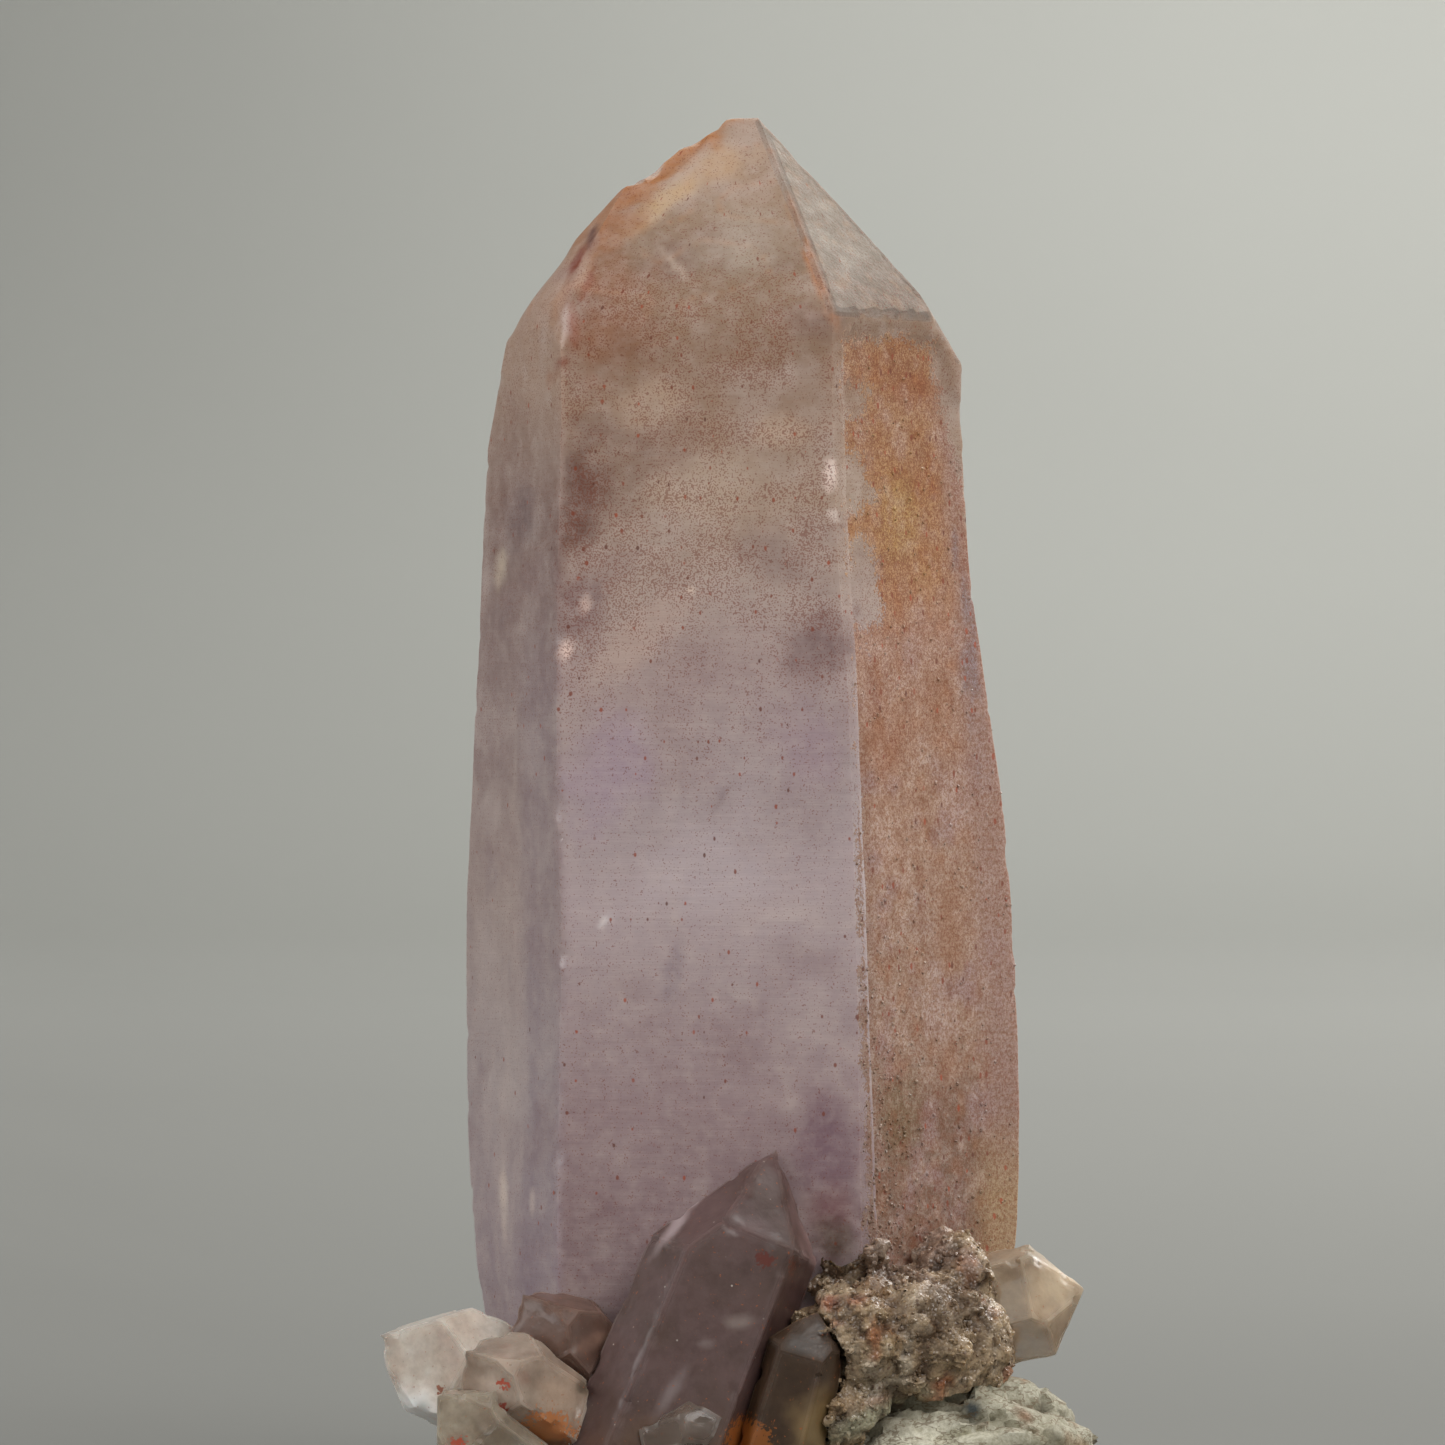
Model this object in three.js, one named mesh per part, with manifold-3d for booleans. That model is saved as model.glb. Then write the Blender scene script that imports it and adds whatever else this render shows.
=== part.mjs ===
// An amethyst point on its matrix: one large six-sided crystal with smaller quartz points round its
// foot, a crust of drusy quartz, and the pale stone that they grew on.
// Millimetres, +Z up along the large crystal, front towards -Y. The origin is the centre of the
// stone's flat underside.
import * as THREE from "three";
import { mergeVertices } from "three/addons/utils/BufferGeometryUtils.js";
import Module from "manifold-3d";

const wasm = await Module();
wasm.setup();

// Driving dimensions
const GAP = 0.3; // clearance between neighbouring pieces
const REACH = 200; // size of a block that cuts a solid, larger than any piece
const RHOMB_DIP = 51.8; // slope of quartz's end faces, in degrees
const RHOMB_RISE = Math.tan(THREE.MathUtils.degToRad(RHOMB_DIP));
const SIDES = 6;
const MAIN_TURN = -96.4; // the way that the large crystal's front face looks, in degrees from +X
const MAIN_FOOT = 6.5; // height of the large crystal's hidden foot
const MAIN_TOP = 92; // the loft ends above the end faces, which cut it
const RING_STEP = 3.2; // height between the loft's rings
const CRUST_FOOT = 1.2; // height of the lowest quartz above the stone's underside
const WINDOW_DEPTH = 0.28; // how far the right face lies inside its raised rim

// How far each side face of the large crystal stands from its axis, at heights going up.
const SIDE_NAMES = ["front", "rightFront", "rightBack", "back", "leftBack", "leftFront"];
const STATIONS = [
  { height: 6, reach: [11.8, 12.6, 12.6, 12.0, 11.0, 13.6] },
  { height: 14, reach: [13.4, 14.3, 14.9, 13.2, 13.2, 15.5] },
  { height: 24, reach: [13.3, 14.1, 16.1, 13.7, 15.0, 15.5] },
  { height: 37, reach: [13.2, 13.9, 15.7, 13.9, 15.5, 15.3] },
  { height: 46, reach: [13.1, 13.6, 14.8, 13.6, 14.6, 15.5] },
  { height: 52.5, reach: [13.1, 13.35, 13.4, 13.4, 13.9, 15.5] },
  { height: 60, reach: [13.0, 12.8, 12.3, 13.2, 13.2, 15.4] },
  { height: 68, reach: [12.9, 12.45, 11.9, 12.9, 12.6, 15.2] },
  { height: 92, reach: [12.9, 12.45, 11.6, 12.9, 12.4, 15.2] },
];
// The height at which each end face meets the top of its side face.
const SHOULDERS = [75.8, 75.9, 73.4, 68.7, 72.1, 76.45];
// Steeper faces that cut the corners under the end faces: where they look, slope, a point on each.
const CORNER_FACES = [
  { look: -6.4, slope: 58.6, out: 13.94, height: 73.2 },
  { look: 173.6, slope: 77, out: 15.95, height: 68.3 },
  { look: 113.6, slope: 60, out: 14.1, height: 70.0 },
];

// The sunken window of the right face, as seen from outside: [across from its middle, height].
const WINDOW_OUTLINE = [
  [-5.4, 14],
  [13, 14],
  [13, 46],
  [9.5, 60],
  [8.6, 69.6],
  [5.3, 71.2],
  [4.6, 73.4],
  [3.4, 74.6],
  [-5.4, 75.1],
  [-6.5, 74],
  [-6.4, 50],
  [-6.1, 37],
];
const WINDOW_SLAB = { from: 11, thick: 6 }; // the cutting slab's distance from the axis

const LILAC = 0xb3a2ad;
const SMOKY = 0x857279;
const PALE = 0xcfc4b8;
const BEIGE = 0xcdbba4;
const DRUSE = 0x8f8174;
const STONE = 0xaeb0a2;

// The smaller points round the foot, from the one that was there first.
const POINTS = [
  {
    name: "leaning_point",
    colour: SMOKY,
    tip: [1.6, -14.2, 23.9],
    points: [0.4, 0.12, 1],
    spin: -84,
    sides: [3.6, 4.5, 4.3, 4.0, 4.1, 4.3],
    lifts: [0, 0.4, 0.6, 2.0, 0, 0.2],
    slopes: [56, 52, 52, 52, 61, 61],
    length: 25,
    flare: 1.5,
  },
  {
    name: "mauve_stub",
    colour: SMOKY,
    tip: [-13.7, -15.0, 15.1],
    points: [-0.62, -0.3, 0.72],
    spin: 8,
    sides: [2.9, 2.7, 2.8, 2.7, 2.9, 2.8],
    lifts: [0, 0.9, 0, 1.3, 0, 1.1],
    length: 12,
  },
  {
    name: "left_point",
    colour: PALE,
    tip: [-22.5, -13.4, 12.3],
    points: [-0.9, -0.3, 0.4],
    spin: 26,
    sides: [3.5, 3.3, 3.2, 3.3, 3.5, 3.7],
    lifts: [0.3, 2.0, 0, 1.0, 0, 2.3],
    length: 15,
  },
  {
    name: "stained_point",
    colour: BEIGE,
    tip: [-17.1, -19.2, 11.9],
    points: [-0.72, -0.42, 0.52],
    spin: 5,
    sides: [2.7, 2.8, 2.7, 2.6, 2.8, 2.7],
    lifts: [0, 1.0, 0, 1.3, 0, 1.2],
    length: 13,
  },
  {
    name: "corner_point",
    colour: BEIGE,
    tip: [-18.8, -20.4, 9.2],
    points: [-0.7, -0.5, 0.55],
    spin: 35,
    sides: [2.4, 2.3, 2.3, 2.4, 2.3, 2.4],
    lifts: [0, 1.0, 0, 1.2, 0, 0.8],
    length: 9,
  },
  {
    name: "clear_stub",
    colour: PALE,
    tip: [-1.5, -20.4, 7.9],
    points: [0.9, -0.25, 0.33],
    spin: 12,
    sides: [1.5, 1.6, 1.5, 1.5, 1.6, 1.5],
    lifts: [0, 0.6, 0, 0.8, 0, 0.7],
    length: 9,
    flare: 1,
  },
  {
    name: "green_stub",
    colour: DRUSE,
    tip: [4.4, -18.2, 14.2],
    points: [0.28, -0.1, 1],
    spin: -96,
    sides: [2.0, 2.1, 2.0, 2.1, 2.0, 2.2],
    lifts: [0, 0.8, 0, 0.9, 0, 0.5],
    length: 11,
    flare: 3,
  },
  {
    name: "right_point",
    colour: BEIGE,
    tip: [21.0, -6.4, 14.6],
    points: [0.95, -0.12, 0.24],
    spin: 4,
    sides: [2.8, 3.2, 3.4, 3.5, 3.3, 3.1],
    lifts: [0, 1.0, 0.4, 0.5, 0.3, 0.2],
    slopes: [39, 42, 40, 40, 44, 38],
    length: 11,
  },
];

// The lumps that the stone and the crust are made of, and the bumps on their skins, large to small.
const STONE_LUMPS = [
  { centre: [12.6, -9.0, 1.0], radii: [10.3, 9.4, 9.4], detail: 8 },
  { centre: [0.5, -2.0, 0.0], radii: [18.4, 14.6, 4.6], detail: 8 },
];
const STONE_OCTAVES = [
  { size: 7.5, height: 1.0, seed: 11 },
  { size: 3.1, height: 0.55, seed: 12 },
  { size: 1.4, height: 0.22, seed: 13 },
];

const CRUST_LUMPS = [
  { centre: [-1.0, -1.6, 6.0], radii: [16.4, 14.0, 3.6], detail: 7 },
  { centre: [9.8, -12.8, 12.2], radii: [5.8, 4.8, 4.5], detail: 6 },
  { centre: [6.4, -16.4, 12.2], radii: [3.0, 2.6, 3.9], detail: 4 },
  { centre: [6.2, -13.8, 16.0], radii: [2.9, 1.7, 3.0], detail: 4 },
  { centre: [13.0, -9.6, 15.4], radii: [3.0, 3.6, 3.6], detail: 4 },
  { centre: [13.4, -11.8, 12.2], radii: [3.4, 3.8, 3.4], detail: 4 },
  { centre: [2.6, -16.2, 8.2], radii: [6.4, 3.4, 3.0], detail: 4 },
  { centre: [-10.4, -14.0, 5.0], radii: [6.6, 5.2, 2.8], detail: 4 },
  { centre: [-5.0, 11.6, 8.4], radii: [9.0, 3.8, 3.6], detail: 4 },
];
const CRUST_OCTAVES = [
  { size: 3.4, height: 0.6, seed: 21 },
  { size: 1.5, height: 0.35, seed: 22 },
];
const DRUSE_COUNT = 48;
const DRUSE_SEED = 5;
const DRUSE_RADIUS = { least: 0.4, more: 0.6 };
const DRUSE_RISE = { least: -12, more: 75 }; // degrees above level that the little points look


// A direction in the XY plane, in degrees from +X, with a slope above it.
function direction(degrees, slope = 0) {
  const turn = THREE.MathUtils.degToRad(degrees);
  const rise = THREE.MathUtils.degToRad(slope);
  return new THREE.Vector3(
    Math.cos(turn) * Math.cos(rise),
    Math.sin(turn) * Math.cos(rise),
    Math.sin(rise),
  );
}

// The outward normal of a face that looks one way and slopes down from the axis.
function faceNormal(look, slope) {
  return direction(look, 90 - slope);
}

function toSolid(geometry) {
  const bare = geometry.clone();
  bare.deleteAttribute("normal");
  bare.deleteAttribute("uv");
  const merged = mergeVertices(bare, 1e-4);
  return new wasm.Manifold(
    new wasm.Mesh({
      numProp: 3,
      vertProperties: merged.attributes.position.array,
      triVerts: new Uint32Array(merged.index.array),
    }),
  );
}

function toGeometry(solid) {
  const mesh = solid.getMesh();
  const position = new Float32Array(mesh.numVert * 3);
  for (let i = 0; i < mesh.numVert; i++) {
    const start = i * mesh.numProp;
    position.set(mesh.vertProperties.subarray(start, start + 3), i * 3);
  }
  const indexed = new THREE.BufferGeometry();
  indexed.setAttribute("position", new THREE.BufferAttribute(position, 3));
  indexed.setIndex(new THREE.BufferAttribute(mesh.triVerts, 1));
  const faceted = indexed.toNonIndexed();
  faceted.computeVertexNormals();
  return faceted;
}

// The body with the most volume, without the crumbs that a cut leaves.
function largest(solid) {
  const bodies = solid.decompose();
  return bodies.reduce((best, body) => (body.volume() > best.volume() ? body : best));
}

// A solid without what lies outside the plane through a point, with that outward normal.
function cutOutside(solid, normal, point) {
  const block = new THREE.BoxGeometry(REACH, REACH, REACH);
  const turn = new THREE.Quaternion().setFromUnitVectors(new THREE.Vector3(0, 0, 1), normal);
  const centre = normal.clone().multiplyScalar(REACH / 2).add(point);
  block.applyMatrix4(new THREE.Matrix4().compose(centre, turn, new THREE.Vector3(1, 1, 1)));
  return solid.subtract(toSolid(block));
}

// Repeatable noise
function lattice(x, y, z, seed) {
  let h = Math.imul(x, 374761393) ^ Math.imul(y, 668265263) ^ Math.imul(z, 2147483647);
  h = Math.imul(h ^ Math.imul(seed, 974711), 1274126177);
  h ^= h >>> 15;
  h = Math.imul(h, 2246822519);
  h ^= h >>> 13;
  return (h >>> 0) / 4294967295;
}

// Smooth noise from -1 to 1.
function noise(point, size, seed) {
  const cell = point.clone().divideScalar(size);
  const low = cell.clone().floor();
  const part = cell.sub(low);
  const ease = (t) => t * t * (3 - 2 * t);
  const [u, v, w] = [ease(part.x), ease(part.y), ease(part.z)];
  const at = (i, j, k) => lattice(low.x + i, low.y + j, low.z + k, seed);
  const mix = THREE.MathUtils.lerp;
  const bottom = mix(mix(at(0, 0, 0), at(1, 0, 0), u), mix(at(0, 1, 0), at(1, 1, 0), u), v);
  const top = mix(mix(at(0, 0, 1), at(1, 0, 1), u), mix(at(0, 1, 1), at(1, 1, 1), u), v);
  return 2 * mix(bottom, top, w) - 1;
}

// A seeded source of numbers from 0 to 1.
function dice(seed) {
  let throwCount = 0;
  return () => lattice(throwCount++, 17, 43, seed);
}

// The large crystal's side faces: how far each stands out at a height, on a smooth curve.
function reachAt(height, side) {
  const last = STATIONS.length - 1;
  let i = STATIONS.findIndex((s) => s.height > height) - 1;
  i = i < 0 ? (height <= STATIONS[0].height ? 0 : last - 1) : i;
  const value = (n) => STATIONS[THREE.MathUtils.clamp(n, 0, last)].reach[side];
  const [low, high] = [STATIONS[i].height, STATIONS[i + 1].height];
  const t = THREE.MathUtils.clamp((height - low) / (high - low), 0, 1);
  const curve = new THREE.SplineCurve(
    [i - 1, i, i + 1, i + 2].map((n) => new THREE.Vector2(n, value(n))),
  );
  return curve.getPoint((1 + t) / 3).y;
}

// The corner where two neighbouring side faces meet, seen from above.
function corner(lookA, reachA, lookB, reachB) {
  const a = direction(lookA);
  const b = direction(lookB);
  const cross = a.x * b.y - a.y * b.x;
  return new THREE.Vector2(
    (reachA * b.y - reachB * a.y) / cross,
    (reachB * a.x - reachA * b.x) / cross,
  );
}

// The six-sided column of the large crystal, before its end is cut.
function column(grow, inset = {}) {
  const rings = Math.ceil((MAIN_TOP - MAIN_FOOT) / RING_STEP) + 1;
  const bottom = MAIN_FOOT - grow;
  const position = [];
  const index = [];
  for (let r = 0; r < rings; r++) {
    const height = bottom + ((MAIN_TOP - bottom) * r) / (rings - 1);
    for (let s = 0; s < SIDES; s++) {
      const next = (s + 1) % SIDES;
      const reach = (side) => reachAt(height, side) + grow - (inset[SIDE_NAMES[side]] ?? 0);
      const at = corner(MAIN_TURN + 60 * s, reach(s), MAIN_TURN + 60 * next, reach(next));
      position.push(at.x, at.y, height);
    }
  }
  for (let r = 0; r + 1 < rings; r++) {
    for (let s = 0; s < SIDES; s++) {
      const [a, b] = [r * SIDES + s, r * SIDES + ((s + 1) % SIDES)];
      index.push(a, b, b + SIDES, a, b + SIDES, a + SIDES);
    }
  }
  const top = (rings - 1) * SIDES;
  for (let s = 1; s + 1 < SIDES; s++) {
    index.push(0, s + 1, s);
    index.push(top, top + s, top + s + 1);
  }
  const geometry = new THREE.BufferGeometry();
  geometry.setAttribute("position", new THREE.Float32BufferAttribute(position, 3));
  geometry.setIndex(index);
  return toSolid(geometry);
}

// The sunken window of the right face, inside its raised rim: what is cut away.
function rightWindow() {
  const look = direction(MAIN_TURN + 60);
  const across = direction(MAIN_TURN + 150);
  const outline = new THREE.Shape(WINDOW_OUTLINE.map(([x, y]) => new THREE.Vector2(x, y)));
  const slab = new THREE.ExtrudeGeometry(outline, {
    depth: WINDOW_SLAB.thick,
    bevelEnabled: false,
  });
  const frame = new THREE.Matrix4().makeBasis(across, new THREE.Vector3(0, 0, 1), look);
  frame.setPosition(look.clone().multiplyScalar(WINDOW_SLAB.from));
  slab.applyMatrix4(frame);
  return toSolid(slab).subtract(column(0, { rightFront: WINDOW_DEPTH }));
}

function mainCrystal(grow = 0) {
  let solid = column(grow);
  for (let s = 0; s < SIDES; s++) {
    const look = MAIN_TURN + 60 * s;
    const normal = faceNormal(look, RHOMB_DIP);
    const point = direction(look).multiplyScalar(reachAt(MAIN_TOP, s)).setZ(SHOULDERS[s]);
    solid = cutOutside(solid, normal, point.addScaledVector(normal, grow));
  }
  for (const face of CORNER_FACES) {
    const normal = faceNormal(face.look, face.slope);
    const point = direction(face.look).multiplyScalar(face.out).setZ(face.height);
    solid = cutOutside(solid, normal, point.addScaledVector(normal, grow));
  }
  return grow > 0 ? solid : solid.subtract(rightWindow());
}

// A smaller quartz point with its tip at the origin and its axis along +Z. sides are the distances
// of its side faces from the axis, lifts raise the minor end faces off the tip, and flare is how
// many degrees the sides spread towards the foot. slopes are those of end faces unlike the usual.
function quartzPoint({ sides, lifts, length, flare = 0, slopes = [] }, grow = 0) {
  const width = 4 * Math.max(...sides);
  const block = new THREE.BoxGeometry(width, width, length + width + 2 * grow);
  block.translate(0, 0, (width - length) / 2);
  let solid = toSolid(block);
  for (let s = 0; s < SIDES; s++) {
    const look = 60 * s;
    const side = direction(look, flare);
    const foot = direction(look).multiplyScalar(sides[s]).setZ(-RHOMB_RISE * sides[s]);
    solid = cutOutside(solid, side, foot.addScaledVector(side, grow));
    const end = faceNormal(look, slopes[s] ?? RHOMB_DIP);
    const tip = new THREE.Vector3(0, 0, lifts[s]);
    solid = cutOutside(solid, end, tip.addScaledVector(end, grow));
  }
  return solid;
}
// Where a smaller point stands: its tip, the way that it points, and its turn about its own axis.
function placement({ tip, points, spin = 0 }) {
  const axis = new THREE.Vector3(...points).normalize();
  const lean = new THREE.Quaternion().setFromUnitVectors(new THREE.Vector3(0, 0, 1), axis);
  const turn = new THREE.Quaternion().setFromAxisAngle(
    new THREE.Vector3(0, 0, 1),
    THREE.MathUtils.degToRad(spin),
  );
  return new THREE.Matrix4().compose(
    new THREE.Vector3(...tip),
    lean.multiply(turn),
    new THREE.Vector3(1, 1, 1),
  );
}

function placedPoint(point, grow = 0) {
  return quartzPoint(point, grow).transform(placement(point).elements);
}

// A rounded lump with a rough skin. Its bumps come from one noise field, so that lumps agree.
function lump({ centre, radii, detail }, grain) {
  const ball = new THREE.IcosahedronGeometry(1, detail);
  const bare = new THREE.BufferGeometry().setAttribute("position", ball.getAttribute("position"));
  const merged = mergeVertices(bare, 1e-5);
  const position = merged.attributes.position;
  const spread = new THREE.Vector3(...radii);
  const middle = new THREE.Vector3(...centre);
  const place = new THREE.Vector3();
  for (let i = 0; i < position.count; i++) {
    const out = new THREE.Vector3().fromBufferAttribute(position, i).normalize();
    place.copy(out).multiply(spread).add(middle);
    let push = grain.grow ?? 0;
    for (const { size, height, seed } of grain.octaves) push += height * noise(place, size, seed);
    place.addScaledVector(out, push);
    position.setXYZ(i, place.x, place.y, place.z);
  }
  return toSolid(merged);
}

function joined(solids) {
  return solids.reduce((sum, solid) => sum.add(solid));
}

function stone(grow = 0) {
  const lumps = STONE_LUMPS.map((one) => lump(one, { grow, octaves: STONE_OCTAVES }));
  return cutOutside(joined(lumps), new THREE.Vector3(0, 0, -1), new THREE.Vector3(0, 0, 0));
}

// The small quartz points of the crust, standing out of its lumps at random.
function drusePoints() {
  const roll = dice(DRUSE_SEED);
  const points = [];
  for (let n = 0; n < DRUSE_COUNT; n++) {
    const home = CRUST_LUMPS[1 + (n % (CRUST_LUMPS.length - 1))]; // the first lump is hidden
    const look = direction(360 * roll(), DRUSE_RISE.least + DRUSE_RISE.more * roll());
    const radius = DRUSE_RADIUS.least + DRUSE_RADIUS.more * roll();
    const tip = look.clone().multiply(new THREE.Vector3(...home.radii));
    tip.add(new THREE.Vector3(...home.centre)).addScaledVector(look, 1.1 * radius);
    const stray = new THREE.Vector3(roll() - 0.5, roll() - 0.5, roll() - 0.5);
    points.push(
      placedPoint({
        tip: tip.toArray(),
        points: look.add(stray).toArray(),
        spin: 60 * roll(),
        sides: Array.from({ length: SIDES }, () => radius * (0.8 + 0.4 * roll())),
        lifts: [0, 0.5 * radius, 0, 0.7 * radius, 0, 0.4 * radius],
        length: 5 * radius,
      }),
    );
  }
  return points;
}

function crust() {
  const lumps = CRUST_LUMPS.map((one) => lump(one, { octaves: CRUST_OCTAVES }));
  return joined([...lumps, ...drusePoints()]);
}

// The object
const object = new THREE.Group();

function addPiece(name, colour, solid, place = new THREE.Matrix4()) {
  const geometry = toGeometry(solid).applyMatrix4(place.clone().invert());
  const material = new THREE.MeshStandardMaterial({ color: colour, roughness: 0.35, metalness: 0 });
  material.flatShading = true;
  const mesh = new THREE.Mesh(geometry, material);
  mesh.name = name;
  place.decompose(mesh.position, mesh.quaternion, mesh.scale);
  object.add(mesh);
  return mesh;
}

const underside = new THREE.Vector3(0, 0, -1);
const quartzFoot = new THREE.Vector3(0, 0, CRUST_FOOT);
addPiece("amethyst_point", LILAC, mainCrystal());
const grown = [mainCrystal(GAP)];
for (const point of POINTS) {
  let solid = placedPoint(point);
  for (const other of grown) solid = solid.subtract(other);
  solid = solid.subtract(stone(GAP));
  solid = cutOutside(solid, underside, quartzFoot);
  addPiece(point.name, point.colour, largest(solid), placement(point));
  grown.push(placedPoint(point, GAP));
}
let shell = crust().subtract(stone(GAP));
shell = cutOutside(shell, underside, quartzFoot);
for (const other of grown) shell = shell.subtract(other);
addPiece("druse_crust", DRUSE, largest(shell));
addPiece("matrix_stone", STONE, largest(stone().subtract(mainCrystal(GAP))));

// Sets the origin at the middle of the underside.
const box = new THREE.Box3().setFromObject(object, true);
const origin = box.getCenter(new THREE.Vector3()).setZ(box.min.z);
object.children.forEach((mesh) => mesh.position.sub(origin));

export default object;
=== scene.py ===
"""A skeletal amethyst point on its pale matrix, dressed as a finished visual model.

Everything is in metres, with +Z up along the large crystal and the front towards -Y. Sizes are
written in millimetres and turned into metres by MM. Places on the specimen are written in the large
crystal's own frame: x and y from its axis, z from the stone's underside.
"""

import logging
import math
from dataclasses import dataclass, field
from enum import Enum
from typing import Callable

import bmesh
import bpy
import numpy as np
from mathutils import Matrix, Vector
from mathutils.geometry import delaunay_2d_cdt


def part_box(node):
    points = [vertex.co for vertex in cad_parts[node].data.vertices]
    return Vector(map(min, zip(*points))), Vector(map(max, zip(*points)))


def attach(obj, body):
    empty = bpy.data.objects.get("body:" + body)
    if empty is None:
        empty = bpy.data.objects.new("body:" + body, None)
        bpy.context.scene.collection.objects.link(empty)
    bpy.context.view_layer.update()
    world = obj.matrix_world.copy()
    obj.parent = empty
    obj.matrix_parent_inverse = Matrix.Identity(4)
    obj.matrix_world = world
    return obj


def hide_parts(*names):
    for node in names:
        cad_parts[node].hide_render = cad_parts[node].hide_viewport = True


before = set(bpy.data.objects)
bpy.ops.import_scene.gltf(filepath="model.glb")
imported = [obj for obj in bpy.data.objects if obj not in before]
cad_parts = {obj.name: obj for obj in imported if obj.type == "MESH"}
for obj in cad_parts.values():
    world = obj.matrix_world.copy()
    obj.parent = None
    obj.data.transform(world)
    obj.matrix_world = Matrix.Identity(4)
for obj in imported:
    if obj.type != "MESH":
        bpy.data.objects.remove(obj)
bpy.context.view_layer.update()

LOG = logging.getLogger("amethyst")
MM = 0.001

# The large crystal's lowest x and y, seen from its axis: they place its own frame in the row frame.
CRYSTAL_LOW = Vector((-17.6739, -14.3877, 0.0))
FRONT_LOOK = -96.4  # the way that the front face looks, in degrees from +X
SIDE_TURN = 60  # degrees from one side face to the next
END_SLOPE = 51.8  # degrees between an end face and level
RHOMB_RISE = 1.27  # height of a quartz point's tip over the distance of its side faces
QUARTZ_IOR = 1.544

Colour = tuple[float, float, float]
Size = float | tuple[float, float, float]
WHITE = (1.0, 1.0, 1.0)


def srgb(red: int, green: int, blue: int) -> Colour:
    """Linear colour of an 8-bit screen colour.

    Args:
        red: its red, from 0 to 255.
        green: its green.
        blue: its blue.

    Returns:
        The linear colour, from 0 to 1.
    """
    def linear(part: int) -> float:
        """One channel."""
        value = part / 255
        return value / 12.92 if value <= 0.04045 else ((value + 0.055) / 1.055) ** 2.4
    return linear(red), linear(green), linear(blue)


def look(degrees: float, slope: float = 0.0) -> Vector:
    """A unit direction, turned from +X and raised by a slope, both in degrees."""
    turn, rise = math.radians(degrees), math.radians(slope)
    return Vector((math.cos(turn) * math.cos(rise), math.sin(turn) * math.cos(rise), math.sin(rise)))


def crystal_axis() -> Vector:
    """Where the large crystal's axis meets the underside, in millimetres in the row frame."""
    low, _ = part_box("amethyst_point")
    return Vector((low.x / MM - CRYSTAL_LOW.x, low.y / MM - CRYSTAL_LOW.y, 0.0))


AXIS = crystal_axis()


class Side(Enum):
    """A photographed side face of the large crystal, in sixths of a turn from the front face."""

    RIGHT = 1
    LEFT = 5

    @property
    def out(self) -> Vector:
        """The way that the face looks."""
        return look(FRONT_LOOK + SIDE_TURN * self.value)


# Repeatable noise on arrays of points

# Large odd numbers that scramble a cell's place and its seed.
CELL_PRIMES = [np.uint32(prime) for prime in (374761393, 668265263, 2147483647)]
MIX_PRIMES = [np.uint32(prime) for prime in (1274126177, 2246822519)]
SEED_PRIME = 974711
ALL_BITS = 0xFFFFFFFF
# Sizes and heights of the layers of cloudy noise, and the sum of them that counts as 1.
CLOUD_LAYERS = (1.0, 0.5, 0.25)
CLOUD_SUM = 1.3
# A grain's tilt, the depth of the crease round it, and the height of its middle.
GRAIN_TILT, GRAIN_CREASE, GRAIN_MIDDLE = 2.2, 0.8, 0.4
# A fold's height, and how deep its crease lies.
FOLD_HEIGHT, FOLD_CREASE = 1.6, 0.9


def lattice(cells: np.ndarray, seed: int) -> np.ndarray:
    """Repeatable numbers for the cells of a grid.

    Args:
        cells: whole-number cell places, one row each.
        seed: which set of numbers.

    Returns:
        One number from 0 to 1 for each row.
    """
    x, y, z = (cells[:, i].astype(np.int64).astype(np.uint32) * CELL_PRIMES[i] for i in range(3))
    mixed = (x ^ y ^ z ^ np.uint32(seed * SEED_PRIME & ALL_BITS)) * MIX_PRIMES[0]
    mixed = (mixed ^ (mixed >> np.uint32(15))) * MIX_PRIMES[1]
    mixed ^= mixed >> np.uint32(13)
    return mixed.astype(np.float64) / ALL_BITS


def noise(points: np.ndarray, size: float, seed: int) -> np.ndarray:
    """Smooth noise with bumps of one size.

    Args:
        points: places, one row each.
        size: width of a bump.
        seed: which set of numbers.

    Returns:
        A number from -1 to 1 for each point.
    """
    cell = points / size
    low = np.floor(cell)
    part = cell - low
    ease = part * part * (3 - 2 * part)
    total = np.zeros(len(points))
    for corner in range(8):
        step = np.array([corner & 1, corner >> 1 & 1, corner >> 2 & 1])
        weight = np.prod(np.where(step, ease, 1 - ease), axis=1)
        total += weight * lattice(low + step, seed)
    return 2 * total - 1


def cloudy(points: np.ndarray, size: Size, seed: int) -> np.ndarray:
    """Noise from about -1 to 1 with three sizes of bumps; size may differ along x, y and z."""
    scaled = points / np.array(size)
    return sum(part * noise(scaled, part, seed + i) for i, part in enumerate(CLOUD_LAYERS)) / CLOUD_SUM


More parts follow.
